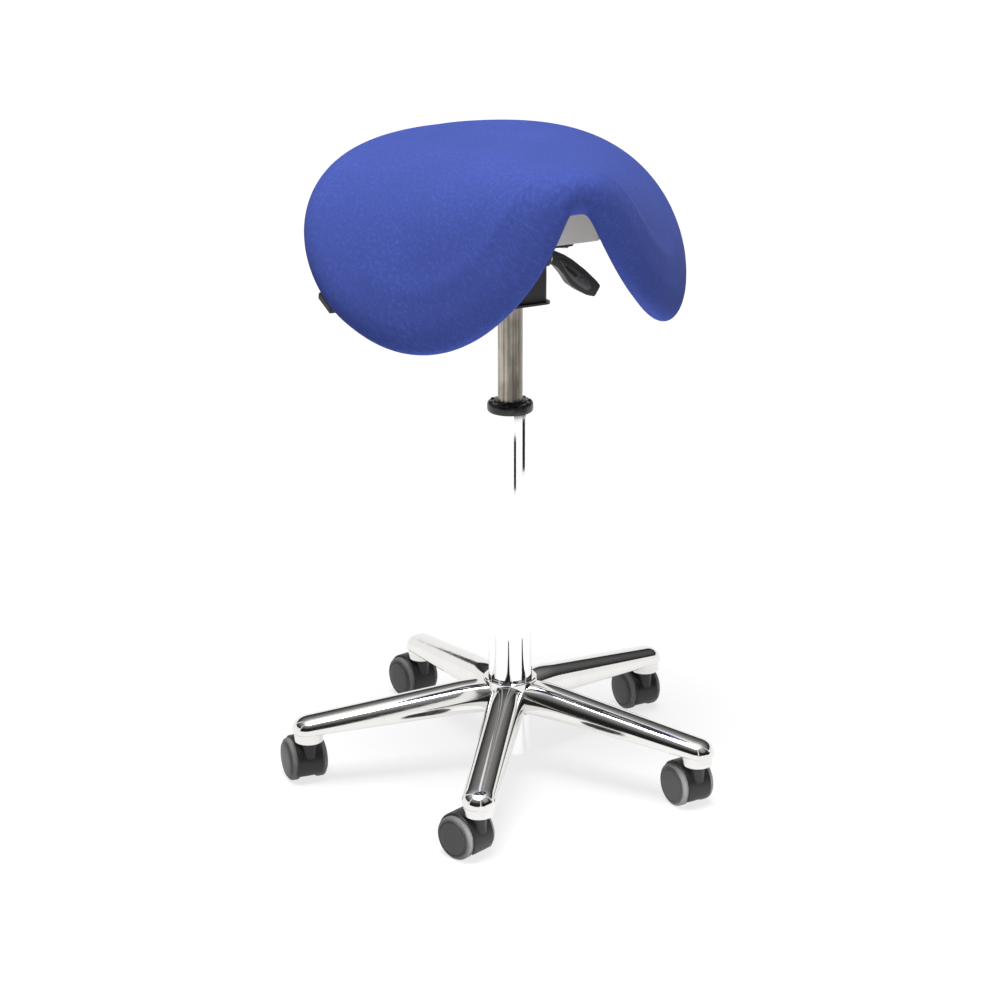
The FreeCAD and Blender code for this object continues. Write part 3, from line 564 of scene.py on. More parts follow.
def saddle_mesh(shape, count, material):
    """The stuffed cover as one closed form: top, rounded rim, turned-under hem and the side on the shell."""
    s = shape.s
    half = s.thickness / 2
    spots, edge = round_grid(count)
    turns = [spots[k][0] for k in edge]
    points, sheet = [], []

    def bead(turn, reach):
        """The padding stands a little proud inside the front edge."""
        swell = exp(-(((reach - BEAD_AT) / BEAD_WIDTH) ** 2))
        return BEAD_HEIGHT * max(0, cos(turn)) ** 0.5 * swell

    def add(turn, reach, lift, spread):
        """Adds a point, and its place on the woven sheet as a share of the way out."""
        points.append(shape.point(turn, reach, lift))
        ahead, side = shape.outline(turn)
        sheet.append((spread * ahead, spread * side))
        return len(points) - 1

    top = []
    for turn, reach in spots:
        out = reach * ROUND_FROM
        top.append(add(turn, out, half + bead(turn, out), out))
    faces = grid_faces(top, count)
    # Each ring's reach, lift, place on the woven sheet and depth of its gathers
    rings = []
    for k in range(1, RIM_STEPS + 1):
        angle = pi * k / RIM_STEPS
        reach = between(ROUND_FROM, 1, sin(angle))
        rings.append((reach, half * cos(angle), ROUND_FROM + RIM_SPREAD * k / RIM_STEPS, 0.0))
    for k in range(1, HEM_STEPS + 1):
        reach = ROUND_FROM + (HEM_AT - ROUND_FROM) * k / HEM_STEPS
        rings.append((reach, -half, ROUND_FROM + RIM_SPREAD + 0.012 * k, 0.9 * MM * (k / HEM_STEPS) ** 2))
    rings += [
        (HEM_AT - 0.004, -half + LIP * 0.4, 1.21, 0.6 * MM),
        (HEM_AT + 0.004, -half + LIP * 0.8, 1.22, 0.3 * MM),
        (SIDE_AT, -half + LIP, 1.23, 0.0),
        (SIDE_AT + 0.002, -half + 6 * MM, 1.24, 0.0),
        (SIDE_AT, -half + SIDE_HEIGHT, 1.25, 0.0),
    ]
    before = [top[k] for k in edge]
    rng = random.Random(7)
    gathers = [rng.uniform(-1, 1) for _ in edge]
    gathers = [(gathers[k - 1] + gathers[k]) / 2 + 0.4 * sin(k * pi / 2) for k in range(len(edge))]
    for reach, lift, spread, gather in rings:
        ring = []
        for k, turn in enumerate(turns):
            ring.append(add(turn, reach, lift + gather * gathers[k], spread))
        for k in range(len(ring)):
            after = (k + 1) % len(ring)
            faces.append((before[k], ring[k], ring[after], before[after]))
        before = ring
    inner = []
    for k, (turn, reach) in enumerate(spots):
        if k in edge:
            inner.append(before[edge.index(k)])
        else:
            inner.append(add(turn, reach * SIDE_AT, -half + SIDE_HEIGHT, reach * 0.5))
    faces += [(a, d, c, b) for a, b, c, d in grid_faces(inner, count)]
    piece = mesh_piece("saddle_cushion", points, faces, material, None)
    layer = piece.data.uv_layers.new(name="sheet")
    for loop in piece.data.loops:
        layer.data[loop.index].uv = sheet[loop.vertex_index]
    # The cloth simulation holds what lies under the seat, from two rings past the rim
    held = piece.vertex_groups.new(name="held")
    first_hem = len(top) + (RIM_STEPS + 2) * len(edge)
    held.add(list(range(first_hem, len(points))), 1.0, "REPLACE")
    return piece


STUFFING_FRAMES = 20


def stuff(piece, pressure, cap):
    """Lets the cover swell like a stuffed pad, and holds each point within a cap of where it was drawn."""
    start = [v.co.copy() for v in piece.data.vertices]
    cloth = piece.modifiers.new("stuffing", "CLOTH")
    settings = cloth.settings
    settings.quality = 6
    settings.mass = 0.25
    settings.tension_stiffness = 22.0
    settings.compression_stiffness = 22.0
    settings.shear_stiffness = 8.0
    settings.bending_stiffness = 3.0
    settings.use_pressure = True
    settings.uniform_pressure_force = pressure
    settings.vertex_group_mass = "held"
    settings.effector_weights.gravity = 0.0
    scene = bpy.context.scene
    for number in range(1, STUFFING_FRAMES + 1):
        scene.frame_set(number)
    swollen = piece.evaluated_get(bpy.context.evaluated_depsgraph_get())
    moved = [v.co.copy() for v in swollen.data.vertices]
    piece.modifiers.remove(cloth)
    scene.frame_set(1)
    for vertex, before, after in zip(piece.data.vertices, start, moved):
        step = after - before
        if step.length > cap:
            step = step.normalized() * cap
        vertex.co = before + step
    piece.data.update()


# One stitch along its length: place along it, thickness, and rise off the cloth, as shares
STITCH = ((-0.5, 0.2, -0.4), (-0.4, 0.8, 0.2), (0, 1, 0.5), (0.4, 0.8, 0.2), (0.5, 0.2, -0.4))


def stitch_row(name, shape, material, reach, lift, count, length, radius):
    """Short threads or wires round the underside, each lying along the seam."""
    points, faces = [], []
    sides = 6
    nudge = 0.004
    for k in range(count):
        turn = 2 * pi * (k + 0.5) / count
        here = shape.point(turn, reach, lift)
        ahead = (shape.point(turn + nudge, reach, lift) - here).normalized()
        normal = (shape.point(turn, reach, lift - MM) - here).normalized()
        side = ahead.cross(normal)
        first = len(points)
        for t, size, rise in STITCH:
            centre = here + ahead * length * t + normal * radius * rise
            for i in range(sides):
                angle = 2 * pi * i / sides
                points.append(centre + (side * cos(angle) + normal * sin(angle)) * radius * size)
        faces += [tuple(first + v for v in face) for face in ring_faces(len(STITCH), sides)]
    return mesh_piece(name, points, faces, material, None)


class STOOL_OT_saddle(Operator):
    """Makes the stuffed wool seat with its hem, stitches and staples"""

    bl_idname = "stool.saddle"
    bl_label = "Saddle"

    def execute(self, context):
        s = context.scene.stool_saddle
        shape = SaddleShape(s)
        wool = woven_wool("blue wool", tuple(s.wool), s.thread)
        cushion = saddle_mesh(shape, s.detail, wool)
        stuff(cushion, pressure=3.0, cap=1.6 * MM)
        subdivision = cushion.modifiers.new("smooth surface", "SUBSURF")
        subdivision.levels = subdivision.render_levels = 1
        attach(cushion, "seat")
        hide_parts("seat_cover", "seat_foam")

        half = s.thickness / 2
        thread = grained_plastic("seam thread", (0.03, 0.045, 0.2), 0.6)
        row = {"reach": 0.845, "lift": -half * 0.985, "count": 190, "length": 4 * MM, "radius": 0.35 * MM}
        seam = stitch_row("hem_stitches", shape, thread, **row)
        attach(seam, "seat")
        steel = drawn_steel("staple wire", (0.62, 0.62, 0.6), 0.25, 0.4)
        row = {"reach": 0.833, "lift": -half - 0.7 * MM, "count": 84, "length": 9 * MM, "radius": 0.6 * MM}
        staples = stitch_row("hem_staples", shape, steel, **row)
        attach(staples, "seat")
        finish_nodes(grained_plastic("moulded shell", (0.05, 0.05, 0.052), 0.5, 0.0003, 500.0), "seat_shell")
        return {"FINISHED"}


# The tilt mechanism and its levers


# The short lever in millimetres: outlines seen from the front, as (x, z), half the neck's width, and the
# front of the grip
SHORT_LEVER = (
    (34, 626), (47, 622), (59, 616.5), (70, 609.3), (86, 596), (100.9, 581.5), (106, 575),
    (98.5, 563.4), (88, 566.5), (79.3, 571.5), (67.8, 580), (60, 592), (51.1, 602.5), (43.6, 606.8),
    (36, 611), (34, 611.6),
)
GRIP_PAD = (
    (52, 612.5), (60, 609), (78, 595), (92, 581.5), (94, 574), (88, 572), (79, 578), (68, 588), (60, 599),
)
GRIP_SLOT = ((59, 602), (62, 604), (76, 591), (73, 588.5))
LEVER_NECK = [
    (-1.5, 620.7), (-4, 622.5), (-4, 626), (36, 626), (40, 609.5), (30, 614), (16, 614.5), (12, 621.5),
    (1.5, 620.7),
]
NECK_HALF = 7
GRIP_FRONT = -16

# The grip's button: its profile as (radius, height) and its middle as (x, z)
BUTTON_PROFILE = ((0.2, -1.6), (3.2, -1.5), (3.8, -0.9), (3.8, 1))
BUTTON_AT = (80, 585)

# The long lever's end cap: its middle and half its size as (y, z), the radius of its corners, its two ends
# along X, and its twist in degrees
END_CAP_MIDDLE = (54, 577)
END_CAP_HALF = (16.8, 4.3)
END_CAP_CORNER = 3
END_CAP_ENDS = (-200.6, -191)
END_CAP_TWIST = 19


def short_lever(s, plastic):
    """The height lever: a grip with a pad and button painted lighter as a highlight, a slot painted as a
    near-black plate of shade, and a neck that reaches the release pin.
    """
    # Painted shade: the slot is a near-black plate standing just proud of the pad, in place of the shadow
    # inside a recess
    dark = grained_plastic("slot painted shade", (0.008, 0.008, 0.008), 0.6)
    # Painted highlight: the pad and the button are the lever plastic made 2.6 times lighter, standing in for
    # the lit face
    pad = grained_plastic("grip pad painted lighter", shade(s.plastic, 2.6), 0.34, 0.0001, 500.0)
    front = GRIP_FRONT
    back = front + s.grip_thickness / MM
    body = slab("grip body", rounded_corners(SHORT_LEVER, 2.4), front, back, plastic)
    add_bevel(body, 2.2 * MM, 4)
    face = slab("grip face", rounded_corners(GRIP_PAD, 4), front - 0.8, front + 2, pad)
    add_bevel(face, 0.7 * MM, 2)
    slot = slab("grip slot", rounded_corners(GRIP_SLOT, 1.5), front - 1.1, front, dark)
    button = turned("grip button", BUTTON_PROFILE, pad, 32)
    spot = Matrix.Translation((BUTTON_AT[0] * MM, front * MM, BUTTON_AT[1] * MM))
    put(button, spot @ Matrix.Rotation(radians(-90), 4, "X"))
    neck = slab("grip neck", LEVER_NECK, -NECK_HALF, NECK_HALF, plastic)
    add_bevel(neck, 1 * MM, 2)
    return joined("height_lever_grip", [body, face, slot, button, neck])


def long_lever_cap():
    """The soft cap on the end of the tilt lever, twisted as the lever is."""
    twist = radians(END_CAP_TWIST)
    wide, thick = END_CAP_HALF
    outline = []
    corners = [(-wide, -thick), (wide, -thick), (wide, thick), (-wide, thick)]
    for a, b in rounded_corners(corners, END_CAP_CORNER):
        across = END_CAP_MIDDLE[0] + a * cos(twist) - b * sin(twist)
        up = END_CAP_MIDDLE[1] + a * sin(twist) + b * cos(twist)
        outline.append((across, up))
    rubber = soft_rubber("lever end rubber", (0.02, 0.02, 0.02))
    cap = slab("lever_end_cap", outline, *END_CAP_ENDS, rubber, "X")
    add_bevel(cap, 1.4 * MM)
    return cap


class STOOL_OT_mechanism(Operator):
    """Finishes the pan, plates, housing and fixings of the tilt mechanism"""

    bl_idname = "stool.mechanism"
    bl_label = "Mechanism"

    def execute(self, context):
        s = context.scene.stool_mechanism
        finish_nodes(grained_plastic("grey pan", tuple(s.pan), 0.42, 0.0002, 600.0, 0.05), "seat_pan")
        coat = powder_coat("black powder coat", tuple(s.coat))
        finish_nodes(coat, "mechanism_housing", "housing_floor_plate", "top_plate")
        zinc = drawn_steel("bright zinc", (0.6, 0.6, 0.58), 0.22, 0.38, (8.0, 8.0, 8.0))
        finish_nodes(zinc, "lever_pivot", "tilt_axle", "clamp_rod", "release_pin")
        finish_nodes(zinc, "plate_screws", "threaded_inserts")
        return {"FINISHED"}


class STOOL_OT_levers(Operator):
    """Makes the short height lever and the cap of the long tilt lever"""

    bl_idname = "stool.levers"
    bl_label = "Levers"

    def execute(self, context):
        s = context.scene.stool_mechanism
        plastic = grained_plastic("black lever plastic", tuple(s.plastic), 0.4, 0.0002, 700.0)
        lever = short_lever(s, plastic)
        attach(lever, "height_lever")
        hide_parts("height_lever")
        finish_nodes(plastic, "tilt_lever")
        cap = long_lever_cap()
        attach(cap, "tilt_lever")
        return {"FINISHED"}


# The gas lift and the column


# The guide bush in millimetres: heights of its sleeve's foot and of its collar's foot and top, and the lugs
SLEEVE_FOOT = 357
COLLAR_FOOT = 441
COLLAR_TOP = 453
LUG_COUNT = 10
LUG_PROFILE = ((0.3, 1.2), (1.7, 1.1), (2.2, 0.5), (2.3, -1))


def guide_collar(s, plastic):
    """The guide bush: a sleeve inside the tube, and a collar with a ring of small lugs on top."""
    bore = s.lift_radius / MM + 0.05
    sleeve = s.radius / MM - 2.1
    rim = s.radius / MM + 1
    low, top = COLLAR_FOOT, COLLAR_TOP
    profile = [(bore, SLEEVE_FOOT), (sleeve, SLEEVE_FOOT), (sleeve, low), (rim - 1.6, low)]
    profile += [(rim - 0.4, low + 0.6), (rim, low + 2), (rim, top - 4.5), (rim - 0.4, top - 3)]
    profile += [(rim - 1.4, top - 2), (rim - 3, top - 1.6), (rim - 6.5, top - 1.4), (rim - 7.5, top - 0.6)]
    profile += [(rim - 8.4, top), (bore + 0.8, top), (bore, top - 0.8)]
    pieces = [turned("column_bush", profile, plastic, 96, "Z", True)]
    for k in range(LUG_COUNT):
        turn = Matrix.Rotation(2 * pi * (k + 0.5) / LUG_COUNT, 4, "Z")
        lug = turned("lug", LUG_PROFILE, plastic, 20)
        pieces.append(put(lug, turn @ Matrix.Translation(((rim - 4) * MM, 0, (top - 1.6) * MM))))
    return joined("guide_collar", pieces)


class STOOL_OT_column(Operator):
    """Makes the guide bush and finishes the chrome column and the gas lift"""

    bl_idname = "stool.column"
    bl_label = "Column"

    def execute(self, context):
        s = context.scene.stool_column
        chrome = polished_metal("bright chrome", tuple(s.chrome), 0.03, 0.06, 8.0, 0.00001)
        finish_nodes(chrome, "column_tube")
        # Painted reflection: the ground lines are drawn long and at a high contrast, as the dark streaks that
        # the lift's surroundings would mirror
        steel = drawn_steel("ground lift steel with painted streaks", tuple(s.lift), 0.26, 0.4, (4.0, 4.0, 0.05), 0.6)
        finish_nodes(steel, "gas_cylinder")
        bright = drawn_steel("piston steel", (0.6, 0.6, 0.6), 0.15, 0.25)
        finish_nodes(bright, "piston_rod", "retaining_clip", "piston", "thrust_bearing")
        finish_nodes(soft_rubber("black rubber", (0.02, 0.02, 0.02)), "bump_stop")
        black = grained_plastic("bush plastic", tuple(s.collar), 0.3, 0.0001, 500.0)
        finish_nodes(black, "rod_gland")
        collar = guide_collar(s, black)
        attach(collar, "base")
        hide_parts("guide_bush")
        return {"FINISHED"}


# The star base


# Where an arm starts and where its top bends, from the column's axis
ARM_START = 24 * MM
ARM_KNEE = 62 * MM

# Heights of an arm's top and bottom in millimetres: at its start, at its knee and at its tip
ARM_TOP = (116, 113.4, 81)
ARM_BOTTOM = (80, 78.5, 62)

# How high an arm is widest, as a share of its height, and how square it is above and below
ARM_WIDEST = 0.26
UPPER_POWER = 2.35
LOWER_POWER = 2.8

# Profiles of the round boss under a nose and of the hub, as (radius, height) in millimetres
BOSS_PROFILE = ((5.6, 54), (15.8, 54), (16.6, 54.4), (17, 55.4), (17, 66), (5.6, 66))
HUB_PROFILE = (
    (25.1, 78), (30, 78), (31, 79), (31, 116.5), (30.6, 118), (29.4, 119), (25.9, 119), (25.1, 118.4),
)


def arm_section(distance, s):
    """Half width, top and bottom of an arm at a distance from the column, in metres."""
    nose = s.nose_width / 2
    root = s.root_width / 2
    width = between(root, nose, (distance - ARM_START) / (s.reach - ARM_START))
    if distance > s.reach:
        width = nose * sqrt(max(0, 1 - ((distance - s.reach) / nose) ** 2))
    if distance < ARM_KNEE:
        t = (distance - ARM_START) / (ARM_KNEE - ARM_START)
        top = between(ARM_TOP[0], ARM_TOP[1], t**2.2)
        bottom = between(ARM_BOTTOM[0], ARM_BOTTOM[1], t)
    else:
        t = (distance - ARM_KNEE) / (s.reach + nose - ARM_KNEE)
        top = between(ARM_TOP[1], ARM_TOP[2], t)
        bottom = between(ARM_BOTTOM[1], ARM_BOTTOM[2], t)
    return width, top * MM, bottom * MM


def arm_mesh(s, sides=44):
    """One arm along -Y: rounded above and below, ending in a bullet nose."""
    nose = s.nose_width / 2
    stations = [(24 + 4 * k) * MM for k in range(12)] + [(72 + 12 * k) * MM for k in range(14)]
    stations = [d for d in stations if d < s.reach - 3 * MM] + [s.reach - 1 * MM]
    stations += [s.reach + nose * sin(pi / 2 * k / 13) for k in range(14)]
    points = []
    for distance in stations:
        width, top, bottom = arm_section(distance, s)
        over = max(0, (distance - s.reach) / nose)
        squeeze = (1 - min(over, 0.999) ** 2.6) ** 0.42
        middle = between(bottom, top, ARM_WIDEST)
        for k in range(sides):
            angle = 2 * pi * k / sides
            c, n = cos(angle), sin(angle)
            power = UPPER_POWER if n > 0 else LOWER_POWER
            size = (abs(c) ** power + abs(n) ** power) ** (-1 / power)
            rise = (top - middle) if n > 0 else (middle - bottom)
            x = max(width, 0.4 * MM) * size * c
            z = middle + rise * size * n * max(squeeze, 0.06)
            points.append((x, -distance, z))
    return points, ring_faces(len(stations), sides)


class STOOL_OT_base(Operator):
    """Makes the polished star base"""

    bl_idname = "stool.base"
    bl_label = "Star Base"

    def execute(self, context):
        s = context.scene.stool_base
        metal = polished_metal("polished aluminium", tuple(s.metal), 0.04, 0.11)
        pieces = []
        points, faces = arm_mesh(s)
        for k in range(5):
            turn = Matrix.Rotation(radians(36 + 72 * k), 4, "Z")
            pieces.append(put(mesh_piece("arm", points, faces, metal), turn))
            boss = turned("boss", BOSS_PROFILE, metal, 64, "Z", True)
            pieces.append(put(boss, turn @ Matrix.Translation((0, -s.reach, 0))))
        pieces.append(turned("hub", HUB_PROFILE, metal, 96, "Z", True))
        base = joined("star_base", pieces)
        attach(base, "base")
        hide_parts("base_casting")
        return {"FINISHED"}


# The castors


# Castor sizes in millimetres: the hood's clearance, thickness and half width, half the width and the inner
# radius of the web between the wheels, and the neck round the stem as (radius, height)
TREAD_DEPTH = 3.5
HOOD_CLEARANCE = 0.9
HOOD_THICKNESS = 1.8
HOOD_HALF = 15.5
WEB_HALF = 3.4
WEB_INSIDE = 6
NECK_PROFILE = ((5.6, 33), (8.7, 33), (8.7, 47), (9.4, 50), (9.3, 51.4), (8.8, 52), (5.6, 52))


def middle_of(node):
    return [(a + b) / 2 for a, b in zip(*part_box(node))]


def castor_place(number):
    """Where a castor's own pieces go: turned the way it trails and set under its arm."""
    stem = middle_of("castor_%d_stem" % number)
    axle = middle_of("castor_%d_axle" % number)
    heading = atan2(axle[0] - stem[0], -(axle[1] - stem[1]))
    return Matrix.Translation((stem[0], stem[1], 0)) @ Matrix.Rotation(heading, 4, "Z")


def swept_band(name, section, start, stop, steps, centre, material):
    """A band bent round the X axis, from (x, radius) in millimetres, with its two ends drawn in."""
    points = []
    low = min(r for x, r in section)
    high = max(r for x, r in section)
    for k in range(steps + 1):
        angle = radians(between(start, stop, k / steps))
        end = min(k, steps - k)
        draw = {0: 0.35, 1: 0.8, 2: 0.95}.get(end, 1.0)
        for x, radius in section:
            r = (low + high) / 2 + (radius - (low + high) / 2) * draw
            y, z = centre[1] + r * MM * cos(angle), centre[2] + r * MM * sin(angle)
            points.append((x * MM * (0.97 + 0.03 * draw), y, z))
    return mesh_piece(name, points, ring_faces(steps + 1, len(section)), material)


def castor_hood(name, s, axle, plastic):
    """A band over both wheels, a web between them and a neck round the stem."""
    inside = s.wheel_radius / MM + HOOD_CLEARANCE
    outside = inside + HOOD_THICKNESS
    half = HOOD_HALF
    section = [(-half, inside), (-half, outside - 1.1), (-half + 1.2, outside - 0.2), (-half / 2, outside)]
    section += [(half / 2, outside), (half - 1.2, outside - 0.2), (half, outside - 1.1), (half, inside)]
    band = swept_band("hood band", section, -32, 212, 60, axle, plastic)
    section = [(-WEB_HALF, WEB_INSIDE), (-WEB_HALF, inside), (WEB_HALF, inside), (WEB_HALF, WEB_INSIDE)]
    web = swept_band("hood web", section, -28, 208, 48, axle, plastic)
    neck = turned("hood neck", NECK_PROFILE, plastic, 48, "Z", True)
    return joined(name, [band, web, neck])


def wheel_disc(name, s, plastic):
    """A wheel with its smooth, slightly domed cap."""
    end = s.width / 2 / MM
    rim = s.wheel_radius / MM - TREAD_DEPTH
    dish = [(3.1, 4.2), (6.5, 4.2), (6.5, end - 7), (rim - 2.6, end - 7), (rim - 2.6, 11), (rim, 11)]
    dish += [(rim, end - 1.8), (rim - 0.7, end - 0.9), (rim - 1.6, end - 0.7), (rim - 2.4, end - 1.3)]
    dish += [(rim - 3.2, end - 0.5), (rim - 4.6, end - 0.1), (11, end + 0.1), (6, end + 0.2)]
    dish += [(0.3, end + 0.25), (0.3, end - 5), (3.1, end - 5)]
    return turned(name, dish, plastic, 72, "X", True, 26.0)


def wheel_tread(name, s, rubber):
    """A soft tread with one fine groove."""
    r = s.wheel_radius / MM
    seat = r - TREAD_DEPTH + 0.05
    band = [(seat, 11), (r - 1.4, 11), (r - 0.4, 11.5), (r, 12.6), (r, 15.2), (r - 0.35, 15.6)]
    band += [(r - 0.35, 16.2), (r, 16.6), (r - 0.05, 18.2), (r - 0.6, 19.6), (r - 1.5, 20.4)]
    band += [(r - 2.6, 20.9), (seat, 21)]
    return turned(name, band, rubber, 96, "X", True, 60.0)


class STOOL_OT_castors(Operator):
    """Makes the five twin-wheel castors"""

    bl_idname = "stool.castors"
    bl_label = "Castors"

    def execute(self, context):
        s = context.scene.stool_castors
        hood_plastic = grained_plastic("hood plastic", tuple(s.hood), 0.42, 0.0001, 600.0)
        cap_plastic = grained_plastic("wheel cap plastic", tuple(s.cap), 0.42, 0.00015, 700.0)
        tread = soft_rubber("grey tread", tuple(s.tread))
        zinc = drawn_steel("castor steel", (0.6, 0.6, 0.58), 0.22, 0.36, (8.0, 8.0, 8.0))
        axle = (0, -s.trail, s.wheel_radius)
        for number in range(1, 6):
            place = castor_place(number)
            body = "castor_%d" % number
            finish_nodes(zinc, body + "_stem", body + "_axle")
            hood = put(castor_hood(body + "_cover", s, axle, hood_plastic), place)
            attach(hood, body)
            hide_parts(body + "_hood")
            for side, flip in (("a", 0), ("b", pi)):
                stand = place @ Matrix.Translation(axle) @ Matrix.Rotation(flip, 4, "Z")
                wheel = put(wheel_disc(body + "_disc_" + side, s, cap_plastic), stand)
                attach(wheel, body + "_wheel_" + side)
                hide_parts(body + "_wheel_" + side)
                tyre = put(wheel_tread(body + "_tread_" + side, s, tread), stand)
                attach(tyre, body + "_wheel_" + side)
                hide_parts(body + "_tyre_" + side)
        return {"FINISHED"}


# The studio


# The camera as it was solved from the photograph: metres, and degrees below level and about Z
CAMERA_PLACE = (-1.3466, -2.5662, 1.352)
CAMERA_DOWN = 19.36
CAMERA_TURN = -27.69
CAMERA_SHIFT = -0.0103

# The floor as camera, glossy and transmission rays see it, and how much of that is its own glow
SEEN_FLOOR = (0.95, 0.95, 0.95)
FLOOR_GLOW = 0.75
FLOOR_REACH = 20.0

# The soft light from above: which way it shines, and how wide the sky patch is in degrees
SKY_DIRECTION = (0.14, 0.12, -1.0)
SKY_WIDTH = 32

# The dark studio walls round the stool: start and stop in degrees from the front of the seat towards +X,
# and the height of the lower edge in metres. Those behind stand clear of the pale floor's horizon.
DARK_WALLS = ((-148, -92, 1.4), (-86, -20, 0.05), (-14, 60, 0.05), (66, 148, 1.4), (156, 205, 1.4))
WALL_RADIUS = 4.0
WALL_TOP = 7.6

# From this height up the walls grow lighter
PALE_FROM = 1.8

# Low dark cards that draw the streaks on the column and the gas lift: the same angles, then the radius
# and the two heights in metres
LOW_CARDS = ((-9, 3, 1.0, 0.015, 0.1), (38, 55, 1.08, 0.015, 0.1), (-8, 62, 1.2, 0.065, 0.24))


def seen_rays(tree):
    """1 for camera, glossy and transmission rays and 0 for the rest."""
    path = tree.nodes.new("ShaderNodeLightPath")
    seen = combine(tree, "MAXIMUM", path.outputs["Is Camera Ray"], path.outputs["Is Glossy Ray"])
    return combine(tree, "MAXIMUM", seen, path.outputs["Is Transmission Ray"])


def area_lamp(name, power, size, place, target):
    lamp = bpy.data.lights.new(name, "AREA")
    lamp.shape = "RECTANGLE"
    lamp.size, lamp.size_y = size
    lamp.energy = power
    item = add_object(name, lamp)
    item.location = place
    item.rotation_euler = (Vector(target) - Vector(place)).to_track_quat("-Z", "Y").to_euler()
    return item


def dark_wall(start, stop, radius, low, high, material):
    """A curved dark wall that only polished surfaces show."""
    points = []
    steps = 12
    for k in range(steps + 1):
        angle = radians(between(start, stop, k / steps))
        for height in (low, high):
            points.append((radius * sin(angle), -radius * cos(angle), height))
    faces = [(2 * k, 2 * k + 2, 2 * k + 3, 2 * k + 1) for k in range(steps)]
    wall = mesh_piece("dark_wall", points, faces, material, None)
    wall.visible_camera = wall.visible_diffuse = wall.visible_transmission = wall.visible_shadow = False


def add_floor(s):
    """A floor that is near white where it is seen and lights the stool with its own colour."""
    material, tree, shader = new_material("studio floor")
    set_inputs(shader, {"Roughness": 0.9, "Specular IOR Level": 0.1})
    glow = tree.nodes.new("ShaderNodeEmission")
    set_inputs(glow, {"Strength": 1.0})
    mix = tree.nodes.new("ShaderNodeMixShader")
    seen = seen_rays(tree)
    tree.links.new(blend_colours(tree, seen, tuple(s.floor), SEEN_FLOOR), shader.inputs["Base Color"])
    tree.links.new(combine(tree, "MULTIPLY", seen, FLOOR_GLOW), mix.inputs["Fac"])
    tree.links.new(shader.outputs["BSDF"], mix.inputs[1])
    tree.links.new(glow.outputs["Emission"], mix.inputs[2])
    tree.links.new(mix.outputs["Shader"], tree.nodes["Material Output"].inputs["Surface"])
    r = FLOOR_REACH
    corners = [(-r, -r, 0), (r, -r, 0), (r, r, 0), (-r, r, 0)]
    mesh_piece("studio_floor", corners, [(0, 1, 2, 3)], material, None)


def add_world(s):
    """White where it is seen, and a faint light from all round."""
    world = bpy.data.worlds.new("studio")
    world.use_nodes = True
    bpy.context.scene.world = world
    tree = world.node_tree
    background = tree.nodes["Background"]
    set_inputs(background, {"Color": (1, 1, 1, 1)})
    strength = remap(tree, seen_rays(tree), s.ambient, 1.0, 0.0, 1.0)
    tree.links.new(strength, background.inputs["Strength"])


def add_lamps(s):
    """The soft sky, a fill lamp on the right and a lamp near the floor that lifts the underside."""
    sky = bpy.data.lights.new("soft sky", "SUN")
    sky.energy = s.key
    sky.angle = radians(SKY_WIDTH)
    add_object("soft sky", sky).rotation_euler = Vector(SKY_DIRECTION).to_track_quat("-Z", "Y").to_euler()
    area_lamp("fill lamp", s.fill, (1.6, 1.6), (0.9, -2.2, 1.9), (0, 0, 0.6))
    bounce = area_lamp("bounce lamp", s.bounce, (0.4, 0.3), (0, -0.3, 0.012), (0, -0.02, 0.66))
    bounce.visible_glossy = False


def add_walls():
    """Dark walls and low cards for the chrome to mirror."""
    dark, tree, shader = new_material("dark wall")
    set_inputs(shader, {"Base Color": (0.02, 0.018, 0.02, 1), "Roughness": 0.9})
    set_inputs(shader, {"Emission Color": (1, 1, 1, 1)})
    height = tree.nodes.new("ShaderNodeSeparateXYZ")
    tree.links.new(object_place(tree), height.inputs["Vector"])
    glow = remap(tree, height.outputs["Z"], 0.0, 0.5, PALE_FROM, WALL_TOP)
    tree.links.new(glow, shader.inputs["Emission Strength"])
    for start, stop, low in DARK_WALLS:
        dark_wall(start, stop, WALL_RADIUS, low, WALL_TOP, dark)
    for start, stop, radius, low, high in LOW_CARDS:
        dark_wall(start, stop, radius, low, high, dark)


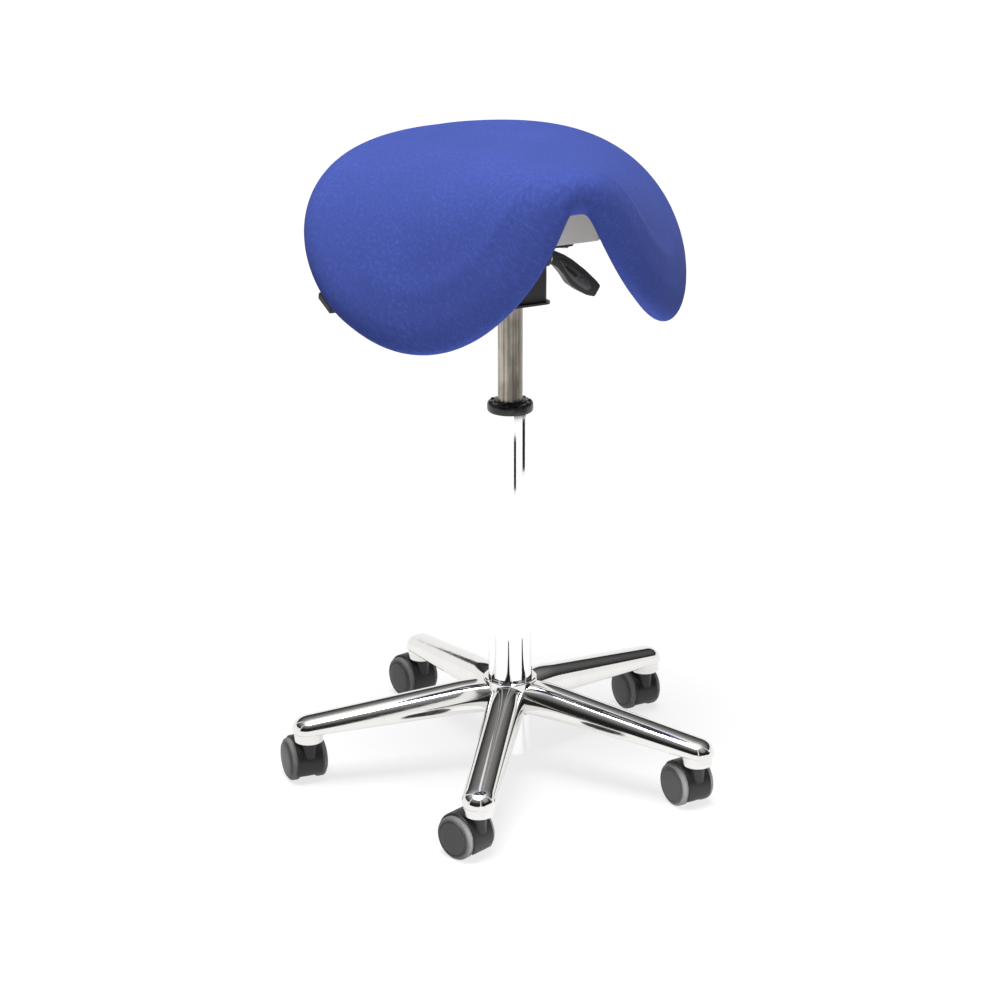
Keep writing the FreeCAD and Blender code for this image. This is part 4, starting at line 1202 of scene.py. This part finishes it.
def add_camera(s):
    lens = bpy.data.cameras.new("camera")
    lens.sensor_width = 36.0
    lens.lens = s.lens
    lens.shift_x = CAMERA_SHIFT
    lens.clip_end = 100.0
    camera = add_object("camera", lens)
    camera.location = CAMERA_PLACE
    camera.rotation_euler = (radians(90 - CAMERA_DOWN), 0, radians(CAMERA_TURN))
    bpy.context.scene.camera = camera


class STOOL_OT_studio(Operator):
    """Makes the pale floor, the soft lamps, the dark walls and the camera"""

    bl_idname = "stool.studio"
    bl_label = "Studio"

    def execute(self, context):
        s = context.scene.stool_studio
        context.scene.view_settings.view_transform = "Standard"
        add_floor(s)
        add_world(s)
        add_lamps(s)
        add_walls()
        add_camera(s)
        return {"FINISHED"}


OPERATORS = (
    STOOL_OT_saddle,
    STOOL_OT_mechanism,
    STOOL_OT_levers,
    STOOL_OT_column,
    STOOL_OT_base,
    STOOL_OT_castors,
    STOOL_OT_studio,
)


class STOOL_PT_panel(Panel):
    """Lists the steps that build the stool, with the sizes and colours of each"""

    bl_idname = "STOOL_PT_panel"
    bl_label = "Saddle Stool"
    bl_space_type = "VIEW_3D"
    bl_region_type = "UI"
    bl_category = "Stool"

    def draw(self, context):
        layout = self.layout
        for operator in OPERATORS:
            layout.operator(operator.bl_idname)
        for name, group in GROUPS.items():
            box = layout.box()
            for field in group.__annotations__:
                box.prop(getattr(context.scene, name), field)


def register():
    for group in GROUPS.values():
        bpy.utils.register_class(group)
    for operator in OPERATORS:
        bpy.utils.register_class(operator)
    bpy.utils.register_class(STOOL_PT_panel)
    for name, group in GROUPS.items():
        setattr(bpy.types.Scene, name, PointerProperty(type=group))


def unregister():
    for name in GROUPS:
        delattr(bpy.types.Scene, name)
    bpy.utils.unregister_class(STOOL_PT_panel)
    for operator in reversed(OPERATORS):
        bpy.utils.unregister_class(operator)
    for group in reversed(list(GROUPS.values())):
        bpy.utils.unregister_class(group)


def build_all():
    """Registers the classes and makes every piece in order."""
    register()
    bpy.ops.stool.studio()
    bpy.ops.stool.saddle()
    bpy.ops.stool.mechanism()
    bpy.ops.stool.levers()
    bpy.ops.stool.column()
    bpy.ops.stool.base()
    bpy.ops.stool.castors()
    bpy.context.view_layer.update()


if __name__ == "__main__":
    build_all()
